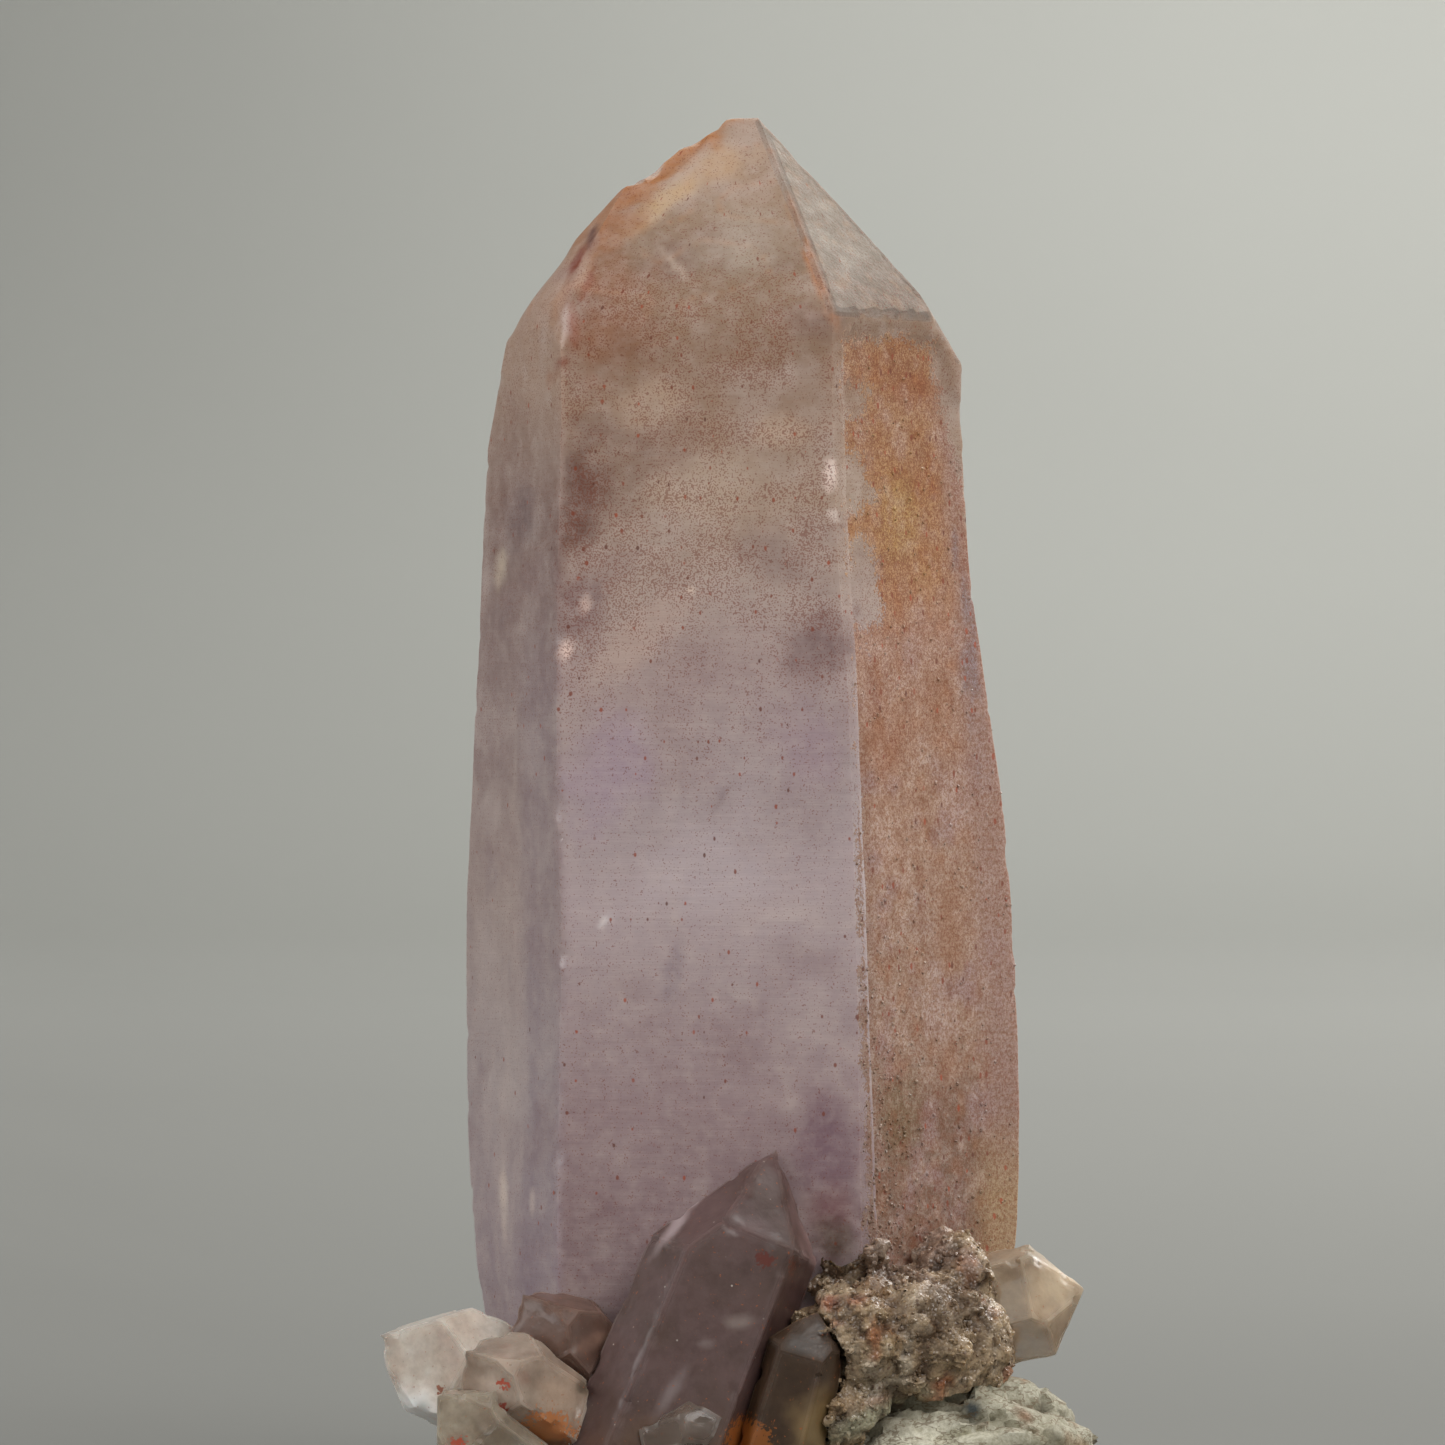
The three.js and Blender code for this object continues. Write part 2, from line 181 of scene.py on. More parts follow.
def facets(points: np.ndarray, size: float, seed: int) -> np.ndarray:
    """Grains like small crystals: every cell round a random point is one tilted flat.

    Args:
        points: places in millimetres, one row each.
        size: width of a cell.
        seed: which set of numbers.

    Returns:
        A height for each point, mostly from -1 to 1.
    """
    cell = points / size
    low = np.floor(cell)
    best = np.full(len(points), np.inf)
    height = np.zeros(len(points))
    for step in np.ndindex(3, 3, 3):
        home = low + (np.array(step) - 1)
        middle = home + np.stack([lattice(home, seed + i) for i in range(3)], axis=1)
        gap = cell - middle
        distance = np.einsum("ij,ij->i", gap, gap)
        tilt = np.stack([lattice(home, seed + 3 + i) for i in range(3)], axis=1) - 0.5
        nearer = distance < best
        best = np.where(nearer, distance, best)
        level = GRAIN_TILT * np.einsum("ij,ij->i", gap, tilt) + lattice(home, seed + 6) - 0.5
        height = np.where(nearer, level, height)
    return height - GRAIN_CREASE * np.sqrt(best) + GRAIN_MIDDLE


def ridges(points: np.ndarray, size: float, seed: int) -> np.ndarray:
    """Narrow creases between rounded folds, from -1 in a crease to 1."""
    return FOLD_HEIGHT * np.sqrt(np.abs(noise(points, size, seed))) - FOLD_CREASE


@dataclass(frozen=True)
class Octave:
    """One layer of bumps: their size and height in millimetres."""

    size: float
    height: float
    seed: int
    shape: Callable[[np.ndarray, float, int], np.ndarray] = noise

    def at(self, points: np.ndarray) -> np.ndarray:
        """How far each point is pushed out, in millimetres."""
        return self.height * self.shape(points, self.size, self.seed)


# Meshes

MERGE_GAP = 0.002 * MM  # corners of a solid that lie closer are one
SLIVER = 0.004 * MM  # edges of a solid that are shorter are left out
FLAT_ANGLE = 0.4  # faces whose angle is smaller, in degrees, are one flat face
RIM_GAP = 0.6  # least distance from an outline to a spot inside it, over the spots' distance
INSIDE_ONLY = 1  # the triangulation's kind of output that leaves out what lies round the outline


def new_object(name: str, mesh: bpy.types.Mesh) -> bpy.types.Object:
    """Links an object of a mesh into the scene, at the origin.

    Args:
        name: the object's name.
        mesh: its mesh.

    Returns:
        The object.
    """
    made = bpy.data.objects.new(name, mesh)
    bpy.context.scene.collection.objects.link(made)
    return made


def node_copy(node: str, name: str) -> bpy.types.Object:
    """A copy of a CAD node with its shared corners merged and each flat face in one piece.

    Args:
        node: the CAD node to copy.
        name: the new object's name.

    Returns:
        The new object.
    """
    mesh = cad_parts[node].data.copy()
    mesh.materials.clear()
    solid = bmesh.new()
    solid.from_mesh(mesh)
    bmesh.ops.remove_doubles(solid, verts=solid.verts, dist=MERGE_GAP)
    flat = math.radians(FLAT_ANGLE)
    bmesh.ops.dissolve_limit(solid, angle_limit=flat, verts=solid.verts, edges=solid.edges)
    for face in solid.faces:
        face.smooth = False
    solid.to_mesh(mesh)
    solid.free()
    for attribute in ("sharp_face", "custom_normal", "sharp_edge"):
        if attribute in mesh.attributes:
            mesh.attributes.remove(mesh.attributes[attribute])
    mesh.name = name
    return new_object(name, mesh)


def apply_modifiers(piece: bpy.types.Object) -> None:
    """Turns what a piece's modifiers make into its own plain mesh.

    Args:
        piece: the object to change.
    """
    graph = bpy.context.evaluated_depsgraph_get()
    mesh = bpy.data.meshes.new_from_object(piece.evaluated_get(graph))
    piece.modifiers.clear()
    piece.data = mesh


def inner_spots(rim: np.ndarray, size: float) -> np.ndarray:
    """Evenly spread spots inside a flat outline.

    Args:
        rim: the outline's points in order, one row of two numbers each.
        size: the distance between spots.

    Returns:
        The spots that keep clear of the outline, one row each.
    """
    low, high = rim.min(axis=0), rim.max(axis=0)
    rise = size * math.sqrt(3) / 2
    across = np.arange(low[0], high[0] + size, size)
    up = np.arange(low[1], high[1] + rise, rise)
    if len(across) < 2 or len(up) < 2:
        return np.empty((0, 2))
    x, y = np.meshgrid(across, up)
    x = x + (np.arange(len(up)) % 2)[:, None] * size / 2
    spots = np.stack([x.ravel(), y.ravel()], axis=1)
    start, end = rim, np.roll(rim, -1, axis=0)
    clear = np.full(len(spots), np.inf)
    inside = np.zeros(len(spots), dtype=bool)
    for a, b in zip(start, end):
        run = b - a
        part = np.clip(((spots - a) @ run) / max(run @ run, 1e-12), 0, 1)
        gap = spots - a - part[:, None] * run
        clear = np.minimum(clear, np.einsum("ij,ij->i", gap, gap))
        crosses = (a[1] > spots[:, 1]) != (b[1] > spots[:, 1])
        if a[1] != b[1]:
            inside ^= crosses & (spots[:, 0] < a[0] + (spots[:, 1] - a[1]) / (b[1] - a[1]) * run[0])
    return spots[inside & (clear > (RIM_GAP * size) ** 2)]


def fill_face(face: bmesh.types.BMFace, rim: list[int], places: list[Vector], size: float) -> list:
    """Fills one flat face with even triangles.

    Args:
        face: the face.
        rim: the places round it, in order.
        places: every place so far; new ones are added.
        size: the triangles' size in millimetres.

    Returns:
        The triangles, as three places each.
    """
    longest = max(face.edges, key=lambda edge: edge.calc_length())
    across = (longest.verts[1].co - longest.verts[0].co).normalized()
    up = face.normal.cross(across).normalized()
    start = places[rim[0]]
    flat = np.array([((places[i] - start).dot(across), (places[i] - start).dot(up)) for i in rim])
    spots = inner_spots(flat, size)
    points = [Vector(spot) for spot in np.vstack([flat, spots])]
    made = delaunay_2d_cdt(points, [], [list(range(len(rim)))], INSIDE_ONLY, 0.0, True)
    triangles = [tuple(made[3][i][0] for i in tri) for tri in made[2] if all(made[3][i] for i in tri)]
    index = rim + list(range(len(places), len(places) + len(spots)))
    places += [start + across * spot[0] + up * spot[1] for spot in spots.tolist()]
    return [tuple(index[i] for i in tri) for tri in inside_rim(triangles, len(rim))]


def inside_rim(triangles: list, rim: int) -> list:
    """Leaves out the triangles that lie outside an outline.

    Args:
        triangles: three points each, turned to the left.
        rim: how many points the outline has; they are the first ones, in order.

    Returns:
        The triangles that are reached from the outline's inner side.
    """
    owner = {(tri[i], tri[i - 2]): tri for tri in triangles for i in range(3)}
    border = {(i, (i + 1) % rim) for i in range(rim)}
    waiting = [owner[pair] for pair in border if pair in owner]
    found = set(waiting)
    while waiting:
        tri = waiting.pop()
        for i in range(3):
            pair = (tri[i], tri[i - 2])
            beyond = owner.get(pair[::-1])
            if pair not in border and beyond is not None and beyond not in found:
                found.add(beyond)
                waiting.append(beyond)
    return sorted(found)


def even_skin(piece: bpy.types.Object, size: float) -> None:
    """Fills a crystal's flat faces with even triangles.

    Args:
        piece: the crystal, which gets a new mesh.
        size: the triangles' size in millimetres.
    """
    solid = bmesh.new()
    solid.from_mesh(piece.data)
    bmesh.ops.dissolve_degenerate(solid, dist=SLIVER, edges=solid.edges)
    solid.normal_update()
    solid.verts.index_update()
    solid.edges.index_update()
    places = [corner.co / MM for corner in solid.verts]
    runs = {}
    for edge in solid.edges:
        first, last = (corner.index for corner in edge.verts)
        parts = max(1, round(edge.calc_length() / MM / size))
        inner = [places[first].lerp(places[last], i / parts) for i in range(1, parts)]
        runs[edge.index] = [first, *range(len(places), len(places) + parts - 1), last]
        places += inner
    triangles = []
    for face in solid.faces:
        rim = []
        for loop in face.loops:
            run = runs[loop.edge.index]
            rim += run[:-1] if run[0] == loop.vert.index else run[:0:-1]
        triangles += fill_face(face, rim, places, size)
    solid.free()
    mesh = bpy.data.meshes.new(piece.data.name)
    mesh.from_pydata([place * MM for place in places], [], triangles)
    mesh.validate()
    piece.data = mesh


def relax(mesh: bpy.types.Mesh, share: np.ndarray, rounds: int) -> None:
    """Softens a mesh's edges and steps.

    Args:
        mesh: the mesh to change.
        share: how much each corner may move, from 0 to 1.
        rounds: how many times it moves towards the middle of its neighbours.
    """
    ends = np.empty(len(mesh.edges) * 2, dtype=np.int64)
    mesh.edges.foreach_get("vertices", ends)
    ends = ends.reshape(-1, 2)
    both = np.concatenate([ends, ends[:, ::-1]])
    place = corners(mesh)
    amount = np.maximum(np.bincount(both[:, 0], minlength=len(place)), 1)[:, None]
    for _ in range(rounds):
        total = [np.bincount(both[:, 0], place[both[:, 1], i], len(place)) for i in range(3)]
        place += 0.5 * share[:, None] * (np.stack(total, axis=1) / amount - place)
    move_corners(mesh, place)


def remesh(piece: bpy.types.Object, voxel: float, smooth: int) -> None:
    """Gives a rough piece an even skin of small faces.

    Args:
        piece: the object to change.
        voxel: the faces' size in millimetres.
        smooth: how many rounds of smoothing follow.
    """
    skin = piece.modifiers.new("skin", "REMESH")
    skin.mode = "VOXEL"
    skin.voxel_size = voxel * MM
    soft = piece.modifiers.new("soft", "SMOOTH")
    soft.factor = 0.5
    soft.iterations = smooth
    apply_modifiers(piece)


def corners(mesh: bpy.types.Mesh) -> np.ndarray:
    """Reads a mesh's corners.

    Args:
        mesh: the mesh to read.

    Returns:
        Their places in the large crystal's frame, in millimetres, one row each.
    """
    place = np.empty(len(mesh.vertices) * 3)
    mesh.vertices.foreach_get("co", place)
    return place.reshape(-1, 3) / MM - np.array(AXIS)


def move_corners(mesh: bpy.types.Mesh, place: np.ndarray) -> None:
    """Puts a mesh's corners at places in the large crystal's frame, in millimetres."""
    mesh.vertices.foreach_set("co", ((place + np.array(AXIS)) * MM).ravel())
    mesh.update()


def outward(mesh: bpy.types.Mesh) -> np.ndarray:
    """Reads the outward direction at each of a mesh's corners.

    Args:
        mesh: the mesh to read.

    Returns:
        The unit directions, one row each.
    """
    normal = np.empty(len(mesh.vertices) * 3)
    mesh.vertices.foreach_get("normal", normal)
    return normal.reshape(-1, 3)


def push(mesh: bpy.types.Mesh, distance: np.ndarray) -> None:
    """Moves each corner outwards by its own distance in millimetres."""
    move_corners(mesh, corners(mesh) + outward(mesh) * distance[:, None])


def store(mesh: bpy.types.Mesh, name: str, values: np.ndarray) -> None:
    """Keeps one number per corner on the mesh, for its material or for a node tree."""
    kept = mesh.attributes.new(name, "FLOAT", "POINT")
    kept.data.foreach_set("value", values.astype(np.float32))


def store_colour(mesh: bpy.types.Mesh, name: str, colours: np.ndarray) -> None:
    """Keeps one colour per corner on the mesh, for its material.

    Args:
        mesh: the mesh to write on.
        name: the attribute's name.
        colours: one row for each corner.
    """
    kept = mesh.attributes.new(name, "FLOAT_COLOR", "POINT")
    opaque = np.ones((len(colours), 1))
    kept.data.foreach_set("color", np.hstack([colours, opaque]).astype(np.float32).ravel())


def blend(share: np.ndarray, low: np.ndarray, high: np.ndarray | Colour) -> np.ndarray:
    """Colours between low, where share is 0, and high, where it is 1."""
    return low + share[:, None] * (np.array(high) - low)


def layered(body: np.ndarray, layers: list[tuple[np.ndarray, Colour]]) -> np.ndarray:
    """Lays colours over others, each as far as its own share says.

    Args:
        body: the colours so far, one row for each corner.
        layers: each layer's shares and its colour, from the lowest to the topmost.

    Returns:
        The new colours.
    """
    for share, colour in layers:
        body = blend(share, body, colour)
    return body


def toned(height: np.ndarray, stops: list[tuple[float, Colour]]) -> np.ndarray:
    """Colours by height, blended between stops.

    Args:
        height: a height for each corner, in millimetres.
        stops: heights and their colours, from the lowest up.

    Returns:
        One colour for each corner.
    """
    levels = [level for level, _ in stops]
    return np.stack(
        [np.interp(height, levels, [colour[i] for _, colour in stops]) for i in range(3)], axis=1
    )


def soft_step(values: np.ndarray, low: float, high: float) -> np.ndarray:
    """0 below low and 1 above high, with a smooth way between; low may be the larger."""
    part = np.clip((values - low) / (high - low), 0, 1)
    return part * part * (3 - 2 * part)


def edge_nearness(piece: bpy.types.Object, reach: float, angle: float) -> np.ndarray:
    """How near each corner is to a sharp edge.

    Args:
        piece: a mesh with small faces.
        reach: the distance in millimetres at which nearness has faded to 0.
        angle: the least angle of a sharp edge, in degrees.

    Returns:
        A number from 0 to 1 for each corner.
    """
    solid = bmesh.new()
    solid.from_mesh(piece.data)
    solid.verts.ensure_lookup_table()
    limit = math.radians(angle)
    near = np.full(len(solid.verts), np.inf)
    front = []
    for edge in solid.edges:
        if edge.is_manifold and edge.calc_face_angle(0) > limit:
            for corner in edge.verts:
                near[corner.index] = 0
                front.append(corner)
    while front:
        following = []
        for corner in front:
            for edge in corner.link_edges:
                other = edge.other_vert(corner)
                length = near[corner.index] + edge.calc_length() / MM
                if length < near[other.index] and length < reach:
                    near[other.index] = length
                    following.append(other)
        front = following
    solid.free()
    return soft_step(np.minimum(near, reach), reach, 0)


def shade_smooth(piece: bpy.types.Object, angle: float) -> None:
    """Shades a mesh smooth, apart from edges sharper than an angle in degrees."""
    piece.data.shade_smooth()
    piece.data.set_sharp_from_angle(angle=math.radians(angle))


# Materials

WRAP_RADIUS = 14.0  # millimetres for each radian round the large crystal's axis
SPOT_BLUR = 0.05  # half the width of a spot's soft rim, in cells
CHANCE_BLUR = 0.01  # half the range of chances in which a spot shows in part


@dataclass(frozen=True)
class Value:
    """A shader socket of a graph, with Python's operators for the maths on it."""

    graph: "Graph"
    socket: bpy.types.NodeSocket

    def __add__(self, other: "Value | float") -> "Value":
        """The sum."""
        return self.graph.math("ADD", self, other)

    def __radd__(self, other: float) -> "Value":
        """The sum, from the left."""
        return self.graph.math("ADD", other, self)

    def __sub__(self, other: "Value | float") -> "Value":
        """The difference."""
        return self.graph.math("SUBTRACT", self, other)

    def __rsub__(self, other: float) -> "Value":
        """The difference, from the left."""
        return self.graph.math("SUBTRACT", other, self)

    def __mul__(self, other: "Value | float") -> "Value":
        """The product."""
        return self.graph.math("MULTIPLY", self, other)

    def __rmul__(self, other: float) -> "Value":
        """The product, from the left."""
        return self.graph.math("MULTIPLY", other, self)

    def least(self, other: "Value | float") -> "Value":
        """The smaller of the two."""
        return self.graph.math("MINIMUM", self, other)

    def most(self, other: "Value | float") -> "Value":
        """The larger of the two."""
        return self.graph.math("MAXIMUM", self, other)

    def step(self, low: float, high: float) -> "Value":
        """A smooth way from 0 to 1.

        Args:
            low: where the way starts, at 0.
            high: where it ends, at 1; it may be the smaller number.

        Returns:
            The step.
        """
        rising = low < high
        ends = (min(low, high), max(low, high), float(not rising), float(rising))
        inputs = dict(zip(("From Min", "From Max", "To Min", "To Max"), ends))
        settings = {"interpolation_type": "SMOOTHSTEP"}
        return self.graph.node("ShaderNodeMapRange", settings, {"Value": self, **inputs})


class Graph:
    """A material's node graph, in millimetres in the large crystal's frame."""

    def __init__(self, name: str) -> None:
        """Makes an empty node material.

        Args:
            name: the material's name.
        """
        self.material = bpy.data.materials.new(name)
        self.material.use_nodes = True
        self.tree = self.material.node_tree
        self.tree.nodes.clear()
        self.metres = self.node("ShaderNodeTexCoord", output="Object")
        self.place = self.moved(self.metres, Vector((1, 1, 1)) / MM, -AXIS)

    def node(
        self,
        kind: str,
        settings: dict[str, object] | None = None,
        inputs: dict[str | int, object] | None = None,
        output: str | int | None = 0,
    ) -> "Value | bpy.types.Node":
        """Adds one node.

        Args:
            kind: the node's type.
            settings: properties, set before the sockets.
            inputs: a value or a link for each socket that isn't left as it is.
            output: the socket to give back, or None for the node itself.

        Returns:
            The output socket as a value, or the node.
        """
        made = self.tree.nodes.new(kind)
        for key, setting in (settings or {}).items():
            setattr(made, key, setting)
        for key, given in (inputs or {}).items():
            self.feed(made.inputs[key], given)
        return made if output is None else Value(self, made.outputs[output])

    def feed(self, socket: bpy.types.NodeSocket, given: object) -> None:
        """Links a value to a socket, or sets the socket.

        Args:
            socket: the input socket.
            given: a value to link, or a number, a vector or a colour.
        """
        if isinstance(given, Value):
            self.tree.links.new(given.socket, socket)
        elif socket.type == "RGBA":
            socket.default_value = (*given, 1.0)
        else:
            socket.default_value = given

    def math(self, operation: str, a: Value | float, b: Value | float = 0.0) -> Value:
        """One step of maths on numbers."""
        return self.node("ShaderNodeMath", {"operation": operation}, {0: a, 1: b})

    def mix(self, share: Value | float, low: object, high: object, rule: str = "MIX") -> Value:
        """A colour between low, at share 0, and high, at share 1, or blended by another rule."""
        settings = {"data_type": "RGBA", "blend_type": rule}
        return self.node("ShaderNodeMix", settings, {0: share, 6: low, 7: high}, 2)

    def tint(self, colour: Value, by: object) -> Value:
        """A colour multiplied by another."""
        return self.mix(1.0, colour, by, "MULTIPLY")

    def moved(self, place: Value, scale: Vector, shift: Vector) -> Value:
        """A place multiplied by a scale along each axis, and then shifted."""
        inputs = {0: place, 1: tuple(scale), 2: tuple(shift)}
        return self.node("ShaderNodeVectorMath", {"operation": "MULTIPLY_ADD"}, inputs, "Vector")

    def stretched(self, size: float | Vector, seed: float, place: Value | None = None) -> Value:
        """The place in cells of a size, shifted by a seed.

        Args:
            size: a cell's size in millimetres, or its sizes along x, y and z.
            seed: how far the cells are shifted.
            place: a place in millimetres; otherwise the object's own place is taken.

        Returns:
            The place in cells.
        """
        size = size if isinstance(size, Vector) else Vector((size, size, size))
        scale = Vector((1 / size.x, 1 / size.y, 1 / size.z))
        shift = seed * Vector((7.31, 3.17, 5.53))
        if place is None:
            return self.moved(self.metres, scale / MM, shift)
        return self.moved(place, scale, shift)

    def noise(self, size: float | Vector, seed: float, detail: float, rough: float) -> Value:
        """Smooth noise, mostly from 0.25 to 0.75, with bumps of a size in millimetres."""
        return self.waves(self.stretched(size, seed), detail, rough)

    def waves(self, place: Value, detail: float, rough: float) -> Value:
        """Smooth noise at a place whose unit is the width of a bump."""
        inputs = {"Vector": place, "Scale": 1.0, "Detail": detail, "Roughness": rough}
        return self.node("ShaderNodeTexNoise", {"noise_dimensions": "3D"}, inputs)

    def cells(self, size: float | Vector, seed: float, flat: Value | None = None) -> tuple[Value, Value]:
        """The distance to the nearest of scattered points, and a random colour for each point.

        Args:
            size: the mean distance of the points.
            seed: which set of points.
            flat: a place with two numbers, for points on it; otherwise they fill space.

        Returns:
            The distance, in cells, and the colour.
        """
        settings = {"voronoi_dimensions": "2D" if flat else "3D", "feature": "F1"}
        inputs = {"Vector": self.stretched(size, seed, flat), "Scale": 1.0}
        made = self.node("ShaderNodeTexVoronoi", settings, inputs, None)
        return Value(self, made.outputs["Distance"]), Value(self, made.outputs["Color"])

    def channels(self, colour: Value) -> tuple[Value, Value, Value]:
        """A colour's three channels, as numbers."""
        parts = self.node("ShaderNodeSeparateColor", inputs={0: colour}, output=None)
        return tuple(Value(self, parts.outputs[i]) for i in range(3))

    def wrapped(self) -> Value:
        """The place, wrapped round the large crystal's axis.

        Returns:
            The way round and the height, both in millimetres.
        """
        parts = self.node("ShaderNodeSeparateXYZ", inputs={"Vector": self.place}, output=None)
        x, y, z = (Value(self, parts.outputs[i]) for i in range(3))
        turn = self.math("ARCTAN2", x, y * -1.0) * WRAP_RADIUS
        return self.node("ShaderNodeCombineXYZ", inputs={0: turn, 1: z})

    def scattered(self, distance: Value, chance: Value, share: Value | float, radius: Value | float) -> Value:
        """1 inside those spots whose chance is under a share, and 0 elsewhere."""
        inside = (radius - distance).step(-SPOT_BLUR, SPOT_BLUR)
        return inside * (share - chance).step(-CHANCE_BLUR, CHANCE_BLUR)

    def attribute(self, name: str) -> Value:
        """A colour that the mesh holds."""
        settings = {"attribute_type": "GEOMETRY", "attribute_name": name}
        return self.node("ShaderNodeAttribute", settings, output="Color")

    def bump(self, height: Value, distance: float) -> Value:
        """A normal tilted by a height, whose full range is a distance in millimetres."""
        return self.node("ShaderNodeBump", {}, {"Height": height, "Distance": distance * MM}, "Normal")

    def principled(self, **inputs: object) -> Value:
        """A Principled surface.

        Args:
            **inputs: a value or a link for each socket, named with _ for each space.

        Returns:
            The surface.
        """
        named = {key.replace("_", " "): given for key, given in inputs.items()}
        settings = {"subsurface_method": "RANDOM_WALK"}
        return self.node("ShaderNodeBsdfPrincipled", settings, named, "BSDF")

    def finish(self, surface: Value, volume: Value | None = None) -> bpy.types.Material:
        """Puts the surface, and a volume if there is one, on the output.

        Args:
            surface: the surface.
            volume: what fills the body.

        Returns:
            The finished material.
        """
        output = self.node("ShaderNodeOutputMaterial", inputs={"Surface": surface}, output=None)
        if volume is not None:
            self.feed(output.inputs["Volume"], volume)
        return self.material


@dataclass(frozen=True)
class Patch:
    """A soft patch of another colour, in millimetres in the large crystal's frame."""

    x: float
    z: float
    wide: float
    tall: float
    colour: Colour
    strength: float
    tilt: float = 0.0
    y: float = -12.0
    deep: float = 7.0
    soft: float = 0.75

    def share(self, place: np.ndarray, ragged: np.ndarray) -> np.ndarray:
        """How much of the patch shows at each place.

        Args:
            place: corners in the large crystal's frame, one row each.
            ragged: noise for the outline, one number each.

        Returns:
            Its strength in the middle, falling to 0 at the outline.
        """
        offset = place - np.array((self.x, self.y, self.z))
        cos, sin = math.cos(math.radians(self.tilt)), math.sin(math.radians(self.tilt))
        along = (offset[:, 0] * cos + offset[:, 2] * sin) / self.wide
        up = (offset[:, 2] * cos - offset[:, 0] * sin) / self.tall
        distance = np.sqrt(along**2 + (offset[:, 1] / self.deep) ** 2 + up**2) + ragged
        return self.strength * soft_step(distance, 1.0, 1.0 - self.soft)


def patched(
    body: np.ndarray,
    place: np.ndarray,
    patches: list[Patch],
    ragged: np.ndarray,
    share: np.ndarray | float = 1.0,
) -> np.ndarray:
    """Lays patches over colours.

    Args:
        body: the colours so far, one row for each corner.
        place: the corners in the large crystal's frame.
        patches: the patches, from the lowest to the topmost.
        ragged: noise for their outlines.
        share: where they may show.

    Returns:
        The new colours.
    """
    return layered(body, [(patch.share(place, ragged) * share, patch.colour) for patch in patches])


@dataclass(frozen=True)
class Cloud:
    """Soft clouds of one colour, which show where noise passes from a start to its full value."""

    size: Size
    seed: int
    start: float
    full: float
    strength: float
    colour: Colour

    def share(self, place: np.ndarray) -> np.ndarray:
        """How much of the colour shows at each place."""
        return soft_step(cloudy(place, self.size, self.seed), self.start, self.full) * self.strength


def clouded(body: np.ndarray, place: np.ndarray, clouds: list[Cloud]) -> np.ndarray:
    """Lays clouds over colours, from the lowest to the topmost."""
    return layered(body, [(cloud.share(place), cloud.colour) for cloud in clouds])


@dataclass(frozen=True)
class Oval:
    """An oval on the right face, by its middle, half width and half height in millimetres."""

    middle: float
    level: float
    wide: float
    tall: float

    def reach(self, across: np.ndarray, high: np.ndarray) -> np.ndarray:
        """How far out each place lies: 0 in the middle and 1 on the outline."""
        return np.hypot((across - self.middle) / self.wide, (high - self.level) / self.tall)


# Colours by height in millimetres, from the foot up: the front face, the left face and the coat
# of the right face.
FRONT_TONES = [
    (18.0, srgb(155, 131, 134)),
    (26.5, srgb(173, 149, 152)),
    (33.0, srgb(190, 170, 172)),
    (39.4, srgb(204, 185, 188)),
    (45.6, srgb(192, 174, 176)),
    (51.9, srgb(192, 169, 167)),
    (58.0, srgb(196, 174, 165)),
    (64.4, srgb(192, 166, 148)),
    (73.0, srgb(172, 140, 118)),
    (80.0, srgb(156, 130, 107)),
    (86.5, srgb(180, 152, 130)),
]
LEFT_TONES = [
    (16.0, srgb(168, 148, 154)),
    (27.0, srgb(192, 175, 174)),
    (39.0, srgb(188, 166, 160)),
    (51.0, srgb(164, 139, 136)),
    (63.0, srgb(148, 118, 110)),
    (72.0, srgb(192, 160, 140)),
    (82.0, srgb(186, 144, 118)),
]
COAT_TONES = [
    (17.0, srgb(138, 114, 100)),
    (27.0, srgb(154, 126, 110)),
    (33.0, srgb(190, 162, 146)),
    (46.0, srgb(194, 160, 140)),
    (55.0, srgb(200, 164, 146)),
    (62.0, srgb(198, 152, 108)),
    (70.0, srgb(194, 152, 114)),
]
# Blotches on the coat, each with its colour and how strongly it shows.
COAT_BLOTCHES = [
    (Oval(-3.2, 49.4, 2.4, 3.0), srgb(176, 118, 82), 0.6),
    (Oval(-3.6, 43.2, 1.8, 2.8), srgb(212, 184, 172), 0.5),
    (Oval(3.4, 37.5, 1.8, 4.2), srgb(172, 122, 86), 0.5),
    (Oval(1.8, 32.4, 2.2, 2.6), srgb(206, 182, 178), 0.5),
    (Oval(-2.3, 26.0, 2.6, 3.6), srgb(134, 112, 78), 0.7),
    (Oval(4.6, 45.6, 2.0, 3.4), srgb(206, 178, 172), 0.5),
    (Oval(2.6, 52.0, 1.8, 3.0), srgb(172, 120, 82), 0.4),
    (Oval(1.6, 71.4, 4.2, 1.2), srgb(176, 110, 70), 0.5),
]
# Bare places in the coat, and its most yellow part.
COAT_GAPS = [Oval(-5.4, 65.2, 1.8, 1.6), Oval(-5.0, 58.8, 1.6, 2.6), Oval(-5.4, 70.6, 1.4, 0.8)]
COAT_YELLOW = Oval(-0.6, 63.4, 3.2, 4.2)
# Clouds inside the crystal, and growth bands on its left face.
HAZE_CLOUDS = [
    Cloud((4.6, 4.6, 3.0), 103, 0.1, 0.9, 0.3, srgb(226, 208, 202)),
    Cloud((4.6, 4.6, 3.0), 103, -0.1, -0.9, 0.3, srgb(146, 114, 118)),
    Cloud((1.3, 1.3, 2.6), 105, 0.25, 0.9, 0.22, srgb(232, 216, 208)),
]
FLANK_BANDS = [
    Cloud((2.0, 2.0, 30.0), 102, 0.0, 0.8, 0.35, srgb(216, 196, 188)),
    Cloud((2.0, 2.0, 30.0), 102, 0.0, -0.8, 0.3, srgb(140, 118, 130)),
]
